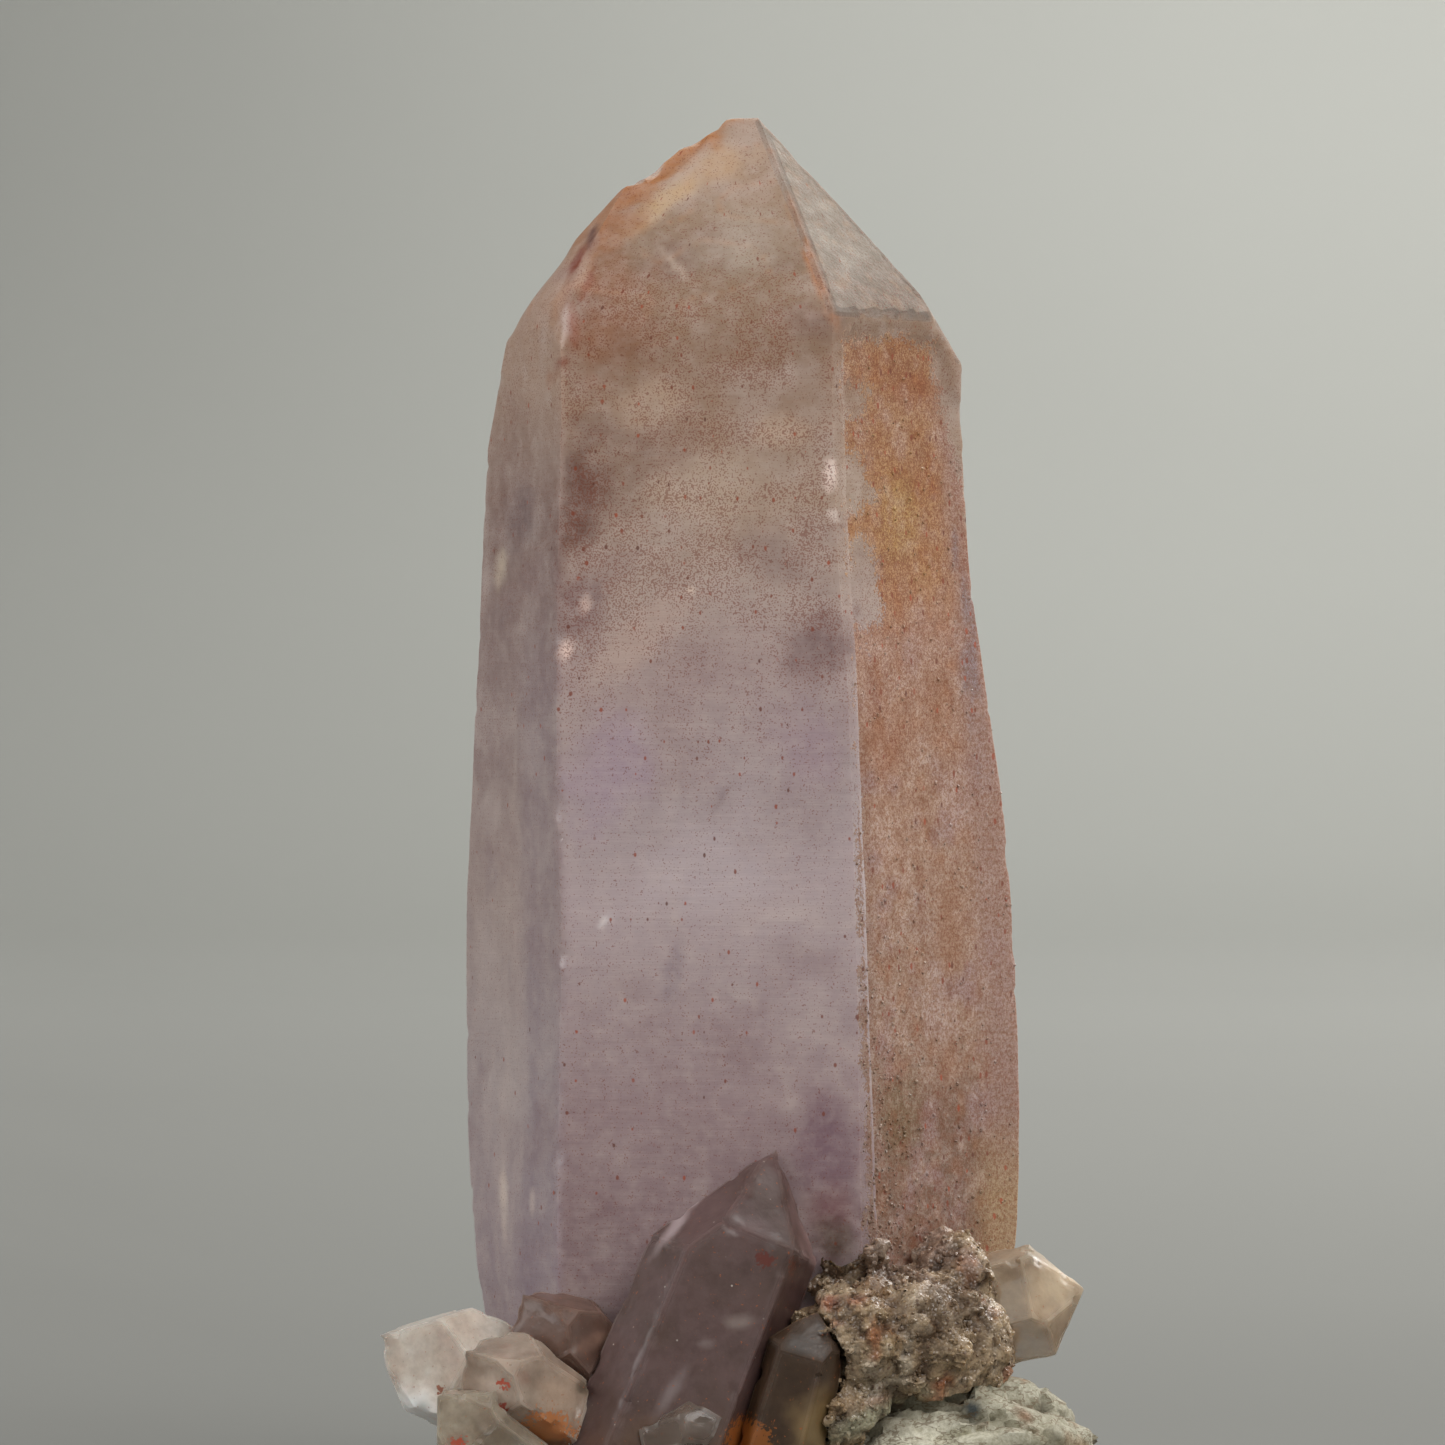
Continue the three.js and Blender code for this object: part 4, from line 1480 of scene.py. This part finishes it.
# Pieces

WORN_ANGLE = 16.0  # least angle of an edge that wears, in degrees
CREASE_ANGLE = 24.0  # least angle of a crystal's edge that stays sharp in its shading, in degrees


def deliver(piece: bpy.types.Object, slot: str, *nodes: str) -> bpy.types.Object:
    """Hands a finished piece to the frame.

    Args:
        piece: the finished object.
        slot: the record's material slot that it shows; not used.
        nodes: the CAD nodes that it stands for.

    Returns:
        The same object.
    """
    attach(piece, "root")
    if nodes:
        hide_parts(*nodes)
    LOG.info("%s: %d faces", piece.name, len(piece.data.polygons))
    return piece


@dataclass
class LargeCrystal:
    """The tall amethyst crystal."""

    face_size: float = 0.42
    wear: float = 0.4
    soft_rounds: int = 40
    swell: Octave = Octave(8.0, 0.07, 51)
    hillocks: Octave = Octave(2.2, 0.03, 52)
    chips: Octave = Octave(0.9, 0.13, 53)
    crumbs: Octave = Octave(1.0, 0.34, 54)

    def softness(self, place: np.ndarray) -> np.ndarray:
        """How soft the edges are: the shoulders' most, and the window's steps.

        Args:
            place: the corners in the large crystal's frame, one row each.

        Returns:
            A number from 0 to 1 for each corner.
        """
        x, y, z = place.T
        shoulder = soft_step(np.abs(z - 76.0 + 0.12 * x), 3.4, 1.6) * soft_step(x, 4.6, 3.4) * (y < 3)
        upright = soft_step(np.hypot(x + 11.7, y + 12.4), 1.8, 0.7) * 0.03
        across = place @ np.array(AmethystFinish.across)
        window = soft_step(across, -5.6, -5.0) * soft_step(z, 68, 70) * soft_step(z, 76.2, 75.6) * (x > 0)
        inner = soft_step(x, 13.4, 9.0)
        return np.max([shoulder * inner, upright, window * np.maximum(inner * 0.3, 0.12)], axis=0)

    def crumbled(self, place: np.ndarray) -> np.ndarray:
        """How worn the tip is, and the ridge that falls from it to the left.

        Args:
            place: the corners in the large crystal's frame, one row each.

        Returns:
            A number from 0 to 1 for each corner.
        """
        ridge = 88.4 + np.minimum(place[:, 0] + 1.0, 0) * 0.74
        near = soft_step(np.abs(place[:, 2] - ridge), 1.3, 0.3)
        tip = soft_step(place[:, 2], 87.2, 88.2)
        along = soft_step(place[:, 0], -8.5, -6.5) * soft_step(place[:, 0], -0.4, -1.6)
        return np.maximum(near * along, tip * 0.05)

    def build(self, finish: AmethystFinish) -> bpy.types.Object:
        """Makes the crystal from its solid, with worn edges and uneven faces.

        Args:
            finish: its look.

        Returns:
            The finished object.
        """
        piece = node_copy("amethyst_point", "amethyst_crystal")
        even_skin(piece, self.face_size)
        relax(piece.data, self.softness(corners(piece.data)), self.soft_rounds)
        relax(piece.data, np.full(len(piece.data.vertices), self.wear), 1)
        near = edge_nearness(piece, 0.8, WORN_ANGLE)
        place = corners(piece.data)
        chipped = soft_step(self.chips.at(place) / self.chips.height, 0.3, 0.9)
        ragged = near * chipped * self.chips.height
        crumbs = self.crumbled(place) * (self.crumbs.at(place) - 0.2)
        push(piece.data, self.swell.at(place) + self.hillocks.at(place) - ragged + crumbs)
        shade_smooth(piece, CREASE_ANGLE)
        finish.paint(piece.data)
        piece.data.materials.append(finish.build())
        return deliver(piece, "amethyst", "amethyst_point")


@dataclass
class SmallPoint:
    """One of the smaller quartz points round the foot."""

    node: str
    name: str
    slot: str
    style: QuartzLook
    grow: float = 0.1
    face_size: float = 0.3
    wear: float = 0.2
    chip: float = 0.24
    swell: float = 0.05
    seed: int = 60

    def build(self, finish: QuartzFinish, material: bpy.types.Material) -> bpy.types.Object:
        """Makes the point from its solid.

        Args:
            finish: its kind of quartz.
            material: that kind's material.

        Returns:
            The finished object.
        """
        piece = node_copy(self.node, self.name)
        even_skin(piece, self.face_size)
        relax(piece.data, np.full(len(piece.data.vertices), self.wear), 1)
        near = edge_nearness(piece, 0.5, WORN_ANGLE)
        place = corners(piece.data)
        chipped = soft_step(noise(place, 0.8, self.seed), 0.0, 0.7) * near * self.chip
        swell = Octave(2.6, self.swell, self.seed + 1).at(place)
        push(piece.data, self.grow + swell - chipped)
        shade_smooth(piece, CREASE_ANGLE)
        finish.paint(piece.data, self.style, near, self.seed)
        piece.data.materials.append(material)
        return deliver(piece, self.slot, self.node)


@dataclass
class Crust:
    """The druse crust round the foot."""

    voxel: float = 0.28
    layers: tuple[Octave, ...] = (
        Octave(2.8, 0.3, 71),
        Octave(1.6, 0.3, 72, facets),
        Octave(0.7, 0.14, 80, facets),
    )
    rim: float = 17.0
    sunk: float = 0.75  # the share of what stands above the rim that goes
    lowered: float = 0.3  # how much lower the upper edge is, in millimetres
    crease: float = 30.0  # least angle of an edge that stays sharp in its shading, in degrees

    def sink_horn(self, mesh: bpy.types.Mesh) -> None:
        """Lowers what stands above the rim at the front left, above the hollow.

        Args:
            mesh: the crust's mesh.
        """
        place = corners(mesh)
        above = np.maximum(place[:, 2] - self.rim, 0) * soft_step(place[:, 0], 7.6, 6.0) * (place[:, 1] < 0)
        place[:, 2] -= above * self.sunk
        move_corners(mesh, place)

    def build(self, finish: DruseFinish, material: bpy.types.Material) -> bpy.types.Object:
        """Makes the crust's rough skin.

        Args:
            finish: its look.
            material: that look's material.

        Returns:
            The finished object, before its small crystals are added.
        """
        piece = node_copy("druse_crust", "druse")
        remesh(piece, self.voxel, smooth=2)
        self.sink_horn(piece.data)
        place = corners(piece.data)
        relief = sum(layer.at(place) for layer in self.layers)
        push(piece.data, relief - self.lowered * soft_step(place[:, 2], 15.5, 18.0))
        shade_smooth(piece, self.crease)
        finish.paint(piece.data, relief / sum(layer.height for layer in self.layers))
        store(piece.data, "druse", soft_step(cloudy(corners(piece.data), 2.2, 81), -0.7, 0.2))
        piece.data.materials.append(material)
        return piece


@dataclass
class Stone:
    """The pale matrix stone."""

    voxel: float = 0.34
    hole: Patch = Patch(14.0, 8.0, 1.5, 1.0, srgb(78, 84, 86), 1.0, -40, -14, 9)
    hole_depth: float = 0.9
    stretch: tuple[float, float, float] = (0.7, 1.0, 1.7)  # folds long across and thin upwards
    crease: float = 50.0  # least angle of an edge that stays sharp in its shading, in degrees
    layers: tuple[Octave, ...] = (
        Octave(4.0, 0.6, 91),
        Octave(3.6, 0.6, 92, ridges),
        Octave(1.7, 0.5, 93, facets),
        Octave(0.7, 0.1, 94),
    )

    def build(self, finish: StoneFinish) -> bpy.types.Object:
        """Makes the stone, rough above its flat underside.

        Args:
            finish: its look.

        Returns:
            The finished object.
        """
        piece = node_copy("matrix_stone", "stone")
        remesh(piece, self.voxel, smooth=3)
        place = corners(piece.data)
        flat = place * np.array(self.stretch)
        rough = sum(layer.at(flat) for layer in self.layers)
        rough = rough - self.hole.share(place, noise(place, 1.0, 95) * 0.3) * self.hole_depth
        push(piece.data, rough * soft_step(place[:, 2], 0.3, 2.0))
        shade_smooth(piece, self.crease)
        finish.paint(piece.data, rough / sum(layer.height for layer in self.layers))
        piece.data.materials.append(finish.build())
        return deliver(piece, "pale_stone", "matrix_stone")


# Small crystals, by geometry nodes


@dataclass
class PointScatter:
    """A node tree that stands tiny quartz points on a surface."""

    name: str
    density: float  # points on a square millimetre, where the mask is 1
    least: float  # the smallest and the largest point's radius, in millimetres
    most: float
    lean: float  # how far they lean from the surface's normal, with 0 for not at all
    seed: int
    mask: str = "druse"  # the surface's attribute that says where they grow
    tone: str = "haze"  # the surface's attribute that holds their colour
    tall: float = 1.2  # the tallest point's height over that of its plain form
    column: float = 1.6  # the plain form's column over its radius

    def tree(self, material: bpy.types.Material) -> bpy.types.NodeTree:
        """Builds the tree.

        Args:
            material: the finish of the points.

        Returns:
            The tree, with named inputs for its sizes.
        """
        tree = bpy.data.node_groups.new(self.name, "GeometryNodeTree")
        face = tree.interface
        face.new_socket("Geometry", in_out="INPUT", socket_type="NodeSocketGeometry")
        for label in ("Density", "Least", "Most", "Lean"):
            face.new_socket(label, in_out="INPUT", socket_type="NodeSocketFloat")
        face.new_socket("Seed", in_out="INPUT", socket_type="NodeSocketInt")
        face.new_socket("Geometry", in_out="OUTPUT", socket_type="NodeSocketGeometry")

        def add(
            kind: str,
            settings: dict[str, object] | None = None,
            inputs: dict[str | int, object] | None = None,
        ) -> bpy.types.bpy_prop_collection:
            """Adds one node.

            Args:
                kind: the node's type.
                settings: properties, set before the sockets.
                inputs: a value, a link or a list of links for each socket that isn't left as it is.

            Returns:
                The node's outputs.
            """
            made = tree.nodes.new(kind)
            for key, setting in (settings or {}).items():
                setattr(made, key, setting)
            for key, given in (inputs or {}).items():
                for one in given if isinstance(given, list) else [given]:
                    if isinstance(one, bpy.types.NodeSocket):
                        tree.links.new(one, made.inputs[key])
                    else:
                        made.inputs[key].default_value = one
            return made.outputs

        start = add("NodeGroupInput")
        mask = add("GeometryNodeInputNamedAttribute", {"data_type": "FLOAT"}, {"Name": self.mask})
        amounts = {0: mask["Attribute"], 1: start["Density"]}
        amount = add("ShaderNodeMath", {"operation": "MULTIPLY"}, amounts)
        where = {"Mesh": start["Geometry"], "Density": amount[0], "Seed": start["Seed"]}
        spots = add("GeometryNodeDistributePointsOnFaces", inputs=where)

        pointed = {"Vertices": 6, "Depth": RHOMB_RISE, "Radius Bottom": 1.0, "Radius Top": 0.0}
        tip = add("GeometryNodeMeshCone", {"fill_type": "NONE"}, pointed)
        straight = {"Vertices": 6, "Radius": 1.0, "Depth": self.column}
        column = add("GeometryNodeMeshCylinder", {"fill_type": "NONE"}, straight)
        raised = {"Geometry": tip["Mesh"], "Translation": (0.0, 0.0, self.column / 2)}
        lift = add("GeometryNodeTransform", inputs=raised)
        joined = add("GeometryNodeJoinGeometry", inputs={0: [column["Mesh"], lift["Geometry"]]})
        merged = add("GeometryNodeMergeByDistance", inputs={"Geometry": joined[0], "Distance": 0.001})
        flat = add("GeometryNodeSetShadeSmooth", inputs={"Geometry": merged[0], "Shade Smooth": False})

        number, vector = {"data_type": "FLOAT"}, {"data_type": "FLOAT_VECTOR"}
        sizes = {"Seed": start["Seed"], 2: start["Least"], 3: start["Most"]}
        size = add("FunctionNodeRandomValue", number, sizes)
        shapes = {"Seed": 3, 0: (0.7, 0.7, 0.4 * self.tall), 1: (1.2, 1.2, self.tall)}
        shape = add("FunctionNodeRandomValue", vector, shapes)
        scale = add("ShaderNodeVectorMath", {"operation": "SCALE"}, {0: shape[0], "Scale": size[1]})
        strays = {"Seed": 7, 0: (-1.0, -1.0, -1.0), 1: (1.0, 1.0, 1.0)}
        stray = add("FunctionNodeRandomValue", vector, strays)
        strayed = add("ShaderNodeVectorMath", {"operation": "SCALE"}, {0: stray[0], "Scale": start["Lean"]})
        way = add("ShaderNodeVectorMath", {"operation": "ADD"}, {0: spots["Normal"], 1: strayed[0]})
        turn = add("FunctionNodeAlignRotationToVector", {"axis": "Z"}, {"Vector": way[0]})
        spin = add("FunctionNodeRandomValue", vector, {"Seed": 11, 1: (0.0, 0.0, math.tau)})
        twist = add("FunctionNodeRotateRotation", {"rotation_space": "LOCAL"}, {0: turn[0], 1: spin[0]})

        stood = {"Points": spots["Points"], "Instance": flat[0], "Rotation": twist[0], "Scale": scale[0]}
        placed = add("GeometryNodeInstanceOnPoints", inputs=stood)
        tones = add("GeometryNodeInputNamedAttribute", {"data_type": "FLOAT_COLOR"}, {"Name": self.tone})
        caught = add(
            "GeometryNodeStoreNamedAttribute",
            {"data_type": "FLOAT_COLOR", "domain": "INSTANCE"},
            {"Geometry": placed[0], "Name": "haze", "Value": tones["Attribute"]},
        )
        real = add("GeometryNodeRealizeInstances", inputs={"Geometry": caught[0]})
        dressed = add("GeometryNodeSetMaterial", inputs={"Geometry": real[0], "Material": material})
        add("NodeGroupOutput", inputs={0: dressed[0]})
        return tree

    def grow_on(self, surface: bpy.types.Object, material: bpy.types.Material) -> bpy.types.Object:
        """Stands the points on a surface, as a piece of its own.

        Args:
            surface: a mesh that holds the mask attribute.
            material: the finish of the points.

        Returns:
            The new object, a plain mesh.
        """
        piece = new_object(self.name, surface.data.copy())
        tree = self.tree(material)
        growth = piece.modifiers.new("growth", "NODES")
        growth.node_group = tree
        values = {
            "Density": self.density / MM**2,
            "Least": self.least * MM,
            "Most": self.most * MM,
            "Lean": self.lean,
            "Seed": self.seed,
        }
        for item in tree.interface.items_tree:
            if item.in_out == "INPUT" and item.name in values:
                growth[item.identifier] = values[item.name]
        apply_modifiers(piece)
        return piece


# Stage

STAGE_GAP = 0.0005  # metres: corners of the stage that lie closer are one, and lower ones are floor
# Greys of the studio's paint on its left and right, painted light and shade that stand in for the lamps'
# fall:
# on the floor by the distance from its middle, and on the wall by the height, both in metres.
FLOOR_PAINTED_LIGHT = [
    (0.09, 127, 133),
    (0.26, 131, 141),
    (0.41, 134, 144),
    (0.61, 136, 146),
    (0.83, 142, 151),
    (1.14, 154, 165),
    (1.43, 168, 184),
    (1.72, 179, 200),
]
WALL_PAINTED_LIGHT = [
    (0.0, 179, 200),
    (0.015, 181, 208),
    (0.04, 184, 215),
    (0.09, 185, 225),
    (0.17, 182, 233),
    (0.24, 181, 239),
]
SIDE_PAINTED_LIGHT_SHARES = [(-0.069, 0.0), (-0.044, 0.27), (0.0, 0.62), (0.0446, 0.89), (0.0697, 1.0)]


@dataclass
class Studio:
    """A pale round studio with soft lights, and the camera."""

    radius: float = 2.6
    cove: float = 0.9
    wall: float = 1.6
    cove_steps: int = 24
    turn_steps: int = 192
    sensor: float = 36.0
    distance: float = 600.0
    view_width: float = 90.3125
    camera_place: Vector = Vector((-1.406, -608.0, 50.47))

    def build(self) -> None:
        """Makes the stage, the lights and the camera."""
        self.bowl()
        self.lights()
        self.camera()

    def bowl(self) -> None:
        """The floor, curving up all round into a wall."""
        profile = [(out, 0.0) for out in (0.0, 0.1, 0.25, 0.45, 0.7, 0.9, 1.2, 1.45, self.radius - self.cove)]
        for step in range(1, self.cove_steps + 1):
            turn = math.radians(90 * step / self.cove_steps)
            out = self.radius - self.cove + self.cove * math.sin(turn)
            profile.append((out, self.cove * (1 - math.cos(turn))))
        profile.append((self.radius, self.wall))
        solid = bmesh.new()
        last = [solid.verts.new((out, 0.0, up)) for out, up in profile]
        edges = [solid.edges.new(pair) for pair in zip(last, last[1:])]
        axis = {"axis": (0, 0, 1), "cent": (0, 0, 0), "angle": math.tau, "steps": self.turn_steps}
        bmesh.ops.spin(solid, geom=last + edges, use_duplicate=False, **axis)
        bmesh.ops.remove_doubles(solid, verts=solid.verts, dist=STAGE_GAP)
        bmesh.ops.recalc_face_normals(solid, faces=solid.faces)
        if solid.faces[0].normal.z < 0:
            bmesh.ops.reverse_faces(solid, faces=solid.faces)
        mesh = bpy.data.meshes.new("studio")
        solid.to_mesh(mesh)
        solid.free()
        mesh.shade_smooth()
        stage = new_object("studio", mesh)
        stage.data.materials.append(self.paint(mesh))

    def paint(self, mesh: bpy.types.Mesh) -> bpy.types.Material:
        """Matt grey paint with painted shade on the floor and to the left, and painted light high on the
        right.

        Args:
            mesh: the stage's mesh, which gets the colours.

        Returns:
            The material.
        """
        place = corners(mesh) * MM + np.array(AXIS) * MM
        slant = place[:, 0] / np.maximum(place[:, 1] + self.distance * MM, 0.3)
        share = np.interp(slant, *zip(*SIDE_PAINTED_LIGHT_SHARES))
        out = np.hypot(place[:, 0], place[:, 1])
        floor, wall = (
            [toned(at, [(stop[0], srgb(*[stop[1 + i]] * 3)) for stop in stops]) for i in range(2)]
            for at, stops in ((out, FLOOR_PAINTED_LIGHT), (place[:, 2], WALL_PAINTED_LIGHT))
        )
        risen = (place[:, 2] > STAGE_GAP)[:, None]
        left, right = (np.where(risen, wall[i], floor[i]) for i in range(2))
        tone = (left + share[:, None] * (right - left)) * np.array((1.06, 1.06, 1.0))
        store_colour(mesh, "haze", tone)
        g = Graph("studio_painted_light")
        return g.finish(g.node("ShaderNodeBsdfDiffuse", inputs={"Color": g.attribute("haze")}))

    def light(
        self,
        name: str,
        place: Vector,
        size: float,
        power: float,
        tone: Colour,
        aim: Vector = Vector((0.0, 0.0, 0.04)),
    ) -> None:
        """One soft square light.

        Args:
            name: its name.
            place: where it stands, in metres.
            size: its width in metres.
            power: its power in watts.
            tone: its colour.
            aim: the place it looks at; the middle of the object if none is given.
        """
        data = bpy.data.lights.new(name, "AREA")
        data.size = size
        data.energy = power
        data.color = tone
        lamp = bpy.data.objects.new(name, data)
        lamp.location = place
        lamp.rotation_mode = "QUATERNION"
        lamp.rotation_quaternion = (aim - place).to_track_quat("-Z", "Y")
        bpy.context.scene.collection.objects.link(lamp)

    def lights(self) -> None:
        """Soft light from the right, the left, above and behind."""
        self.light("key", Vector((0.75, 0.72, 0.85)), 0.7, 11.0, (1.0, 0.99, 0.97))
        self.light("front", Vector((0.55, -0.85, 0.95)), 0.9, 10.5, (1.0, 0.98, 0.96))
        self.light("fill", Vector((-1.05, -0.35, 0.5)), 0.9, 6.5, (0.98, 0.99, 1.0))
        self.light("wall", Vector((0.3, 0.8, 1.5)), 0.8, 8.0, WHITE, Vector((0.5, 2.4, 0.4)))
        world = bpy.data.worlds.new("studio_air")
        world.use_nodes = True
        sky = world.node_tree.nodes["Background"]
        sky.inputs["Color"].default_value = (*srgb(226, 228, 226), 1.0)
        sky.inputs["Strength"].default_value = 0.42
        bpy.context.scene.world = world
        bpy.context.scene.view_settings.view_transform = "Standard"

    def camera(self) -> None:
        """The camera, level with the middle of the crystal."""
        data = bpy.data.cameras.new("camera")
        data.sensor_width = self.sensor
        data.lens = self.sensor * self.distance / self.view_width
        data.clip_start, data.clip_end = 0.01, 20.0
        camera = bpy.data.objects.new("camera", data)
        camera.location = (AXIS + self.camera_place) * MM
        camera.rotation_euler = (math.radians(90), 0.0, 0.0)
        bpy.context.scene.collection.objects.link(camera)
        bpy.context.scene.camera = camera


SMALL_POINTS = [
    SmallPoint("leaning_point", "leaning_crystal", "smoky_quartz", QuartzLook(
        srgb(106, 82, 80), srgb(92, 70, 64), srgb(130, 106, 104), 0.9, [
            # Painted light reflected along the contact with the large crystal.
            Patch(-4.2, 19.6, 3.4, 0.5, srgb(190, 172, 174), 0.7, 52, -14, 10),
            Patch(-1.2, 22.9, 1.5, 0.4, srgb(176, 160, 164), 0.5, 40, -14, 10),
            Patch(-0.4, 13.7, 1.3, 0.6, srgb(158, 144, 138), 0.6, 0, -18, 8),
            Patch(-4.6, 9.4, 0.6, 2.6, srgb(150, 136, 136), 0.6, -32, -20, 8),
            Patch(-2.4, 12.4, 0.8, 0.4, srgb(150, 136, 134), 0.5, 0, -20, 8),
            Patch(4.3, 18.4, 1.2, 4.4, srgb(156, 126, 124), 0.8, 22, -15, 10),
            Patch(-5.0, 5.0, 6.0, 4.4, srgb(106, 78, 50), 0.75, 0, -19, 9),
        ], [
            Patch(1.2, 17.5, 1.0, 0.8, srgb(104, 40, 28), 1.0, 0, -17, 8),
            Patch(2.9, 17.0, 0.4, 1.2, srgb(104, 62, 50), 0.6, 0, -17, 8),
            Patch(-0.1, 6.4, 1.9, 2.2, srgb(180, 108, 50), 1.0, 0, -17, 9),
        ]), seed=61),
    SmallPoint("mauve_stub", "mauve_crystal", "smoky_quartz", QuartzLook(
        srgb(140, 108, 94), srgb(114, 86, 74), srgb(172, 144, 130), 0.66, [
            Patch(-8.6, 12.6, 3.0, 0.8, srgb(160, 128, 112), 0.5, 25, -14, 10),
        ], [
            Patch(-8.1, 11.3, 0.5, 0.4, srgb(112, 52, 36), 0.9, 0, -15, 8),
        ]), seed=62),
    SmallPoint("left_point", "left_crystal", "pale_quartz", QuartzLook(
        srgb(255, 242, 230), srgb(244, 226, 210), srgb(255, 250, 244), 0.56, [
            # Painted light: the lower facet lit through from behind.
            Patch(-20.4, 7.4, 3.0, 2.6, srgb(255, 255, 253), 0.9, -30, -12, 12),
        ], [
            Patch(-18.8, 9.2, 0.5, 0.5, srgb(150, 76, 44), 0.9, 0, -14, 8),
        ]), seed=63),
    SmallPoint("stained_point", "stained_crystal", "pale_quartz", QuartzLook(
        srgb(218, 198, 180), srgb(198, 172, 152), srgb(240, 228, 214), 0.46, [
            Patch(-14.8, 9.4, 2.2, 2.0, srgb(236, 222, 210), 0.5, 0, -17, 8),
            Patch(-11.4, 9.2, 2.4, 2.2, srgb(188, 156, 132), 0.5, 0, -17, 8),
            Patch(-10.0, 9.6, 0.9, 0.8, srgb(80, 66, 48), 0.9, 0, -16, 8),
        ], [
            Patch(-14.8, 10.0, 0.8, 0.7, srgb(196, 72, 42), 1.0, 0, -17, 8),
            Patch(-15.1, 8.4, 1.0, 0.8, srgb(172, 44, 26), 1.0, 0, -17, 8),
            Patch(-12.2, 7.0, 2.9, 2.3, srgb(184, 110, 48), 1.0, -20, -17, 8),
            Patch(-11.2, 5.4, 2.2, 1.2, srgb(120, 70, 34), 1.0, -10, -17, 8),
        ]), seed=64),
    SmallPoint("corner_point", "corner_crystal", "pale_quartz", QuartzLook(
        srgb(220, 206, 184), srgb(184, 166, 144), srgb(226, 214, 198), 0.42, [], [
            Patch(-17.5, 6.4, 1.1, 0.8, srgb(184, 66, 38), 1.0, 0, -17, 8),
        ]), seed=65),
    SmallPoint("clear_stub", "clear_crystal", "pale_quartz", QuartzLook(
        srgb(150, 130, 116), srgb(122, 102, 90), srgb(224, 212, 206), 0.3), seed=66),
    SmallPoint("green_stub", "green_crystal", "smoky_quartz", QuartzLook(
        srgb(84, 62, 44), srgb(66, 47, 32), srgb(84, 62, 40), 0.9, [
            Patch(4.4, 7.4, 2.4, 3.2, srgb(146, 122, 84), 0.85, 0, -18, 8),
            # Painted shade on the top facet, which dims its reflection.
            Patch(3.2, 12.2, 2.2, 1.2, srgb(34, 25, 16), 0.8, 0, -16, 8),
        ], [
            Patch(0.4, 6.4, 2.2, 2.2, srgb(150, 88, 34), 1.0, 0, -17, 9),
        ]), seed=67),
    SmallPoint("right_point", "right_crystal", "pale_quartz", QuartzLook(
        srgb(214, 194, 168), srgb(192, 166, 138), srgb(234, 222, 204), 0.5, [
            Patch(19.6, 15.2, 2.6, 3.0, srgb(196, 178, 150), 0.6, 0, -6, 12),
        ], [
            Patch(15.2, 9.2, 1.8, 1.4, srgb(166, 110, 72), 0.8, 0, -8, 10),
        ]), seed=68),
]


def main() -> None:
    """Builds the studio and every piece in order."""
    logging.basicConfig(level=logging.INFO, format="%(name)s: %(message)s")
    Studio().build()
    amethyst = LargeCrystal().build(AmethystFinish())
    druse = DruseFinish()
    grains = druse.build()
    rust = PointScatter("rust_points", 4.0, 0.05, 0.13, 0.7, 9, tone="rust", tall=0.7)
    deliver(rust.grow_on(amethyst, grains), "rusty_druse")
    kinds = {
        "smoky_quartz": QuartzFinish("smoky_body", srgb(190, 160, 158), 70.0),
        "pale_quartz": QuartzFinish("pale_body", srgb(240, 228, 212), 40.0),
    }
    materials = {slot: kind.build() for slot, kind in kinds.items()}
    for point in SMALL_POINTS:
        point.build(kinds[point.slot], materials[point.slot])
    crust = Crust().build(druse, grains)
    growth = PointScatter("druse_points", 2.6, 0.06, 0.2, 0.8, 5, tall=0.9).grow_on(crust, grains)
    deliver(crust, "rusty_druse", "druse_crust")
    deliver(growth, "rusty_druse")
    Stone().build(StoneFinish())


if __name__ == "__main__":
    main()
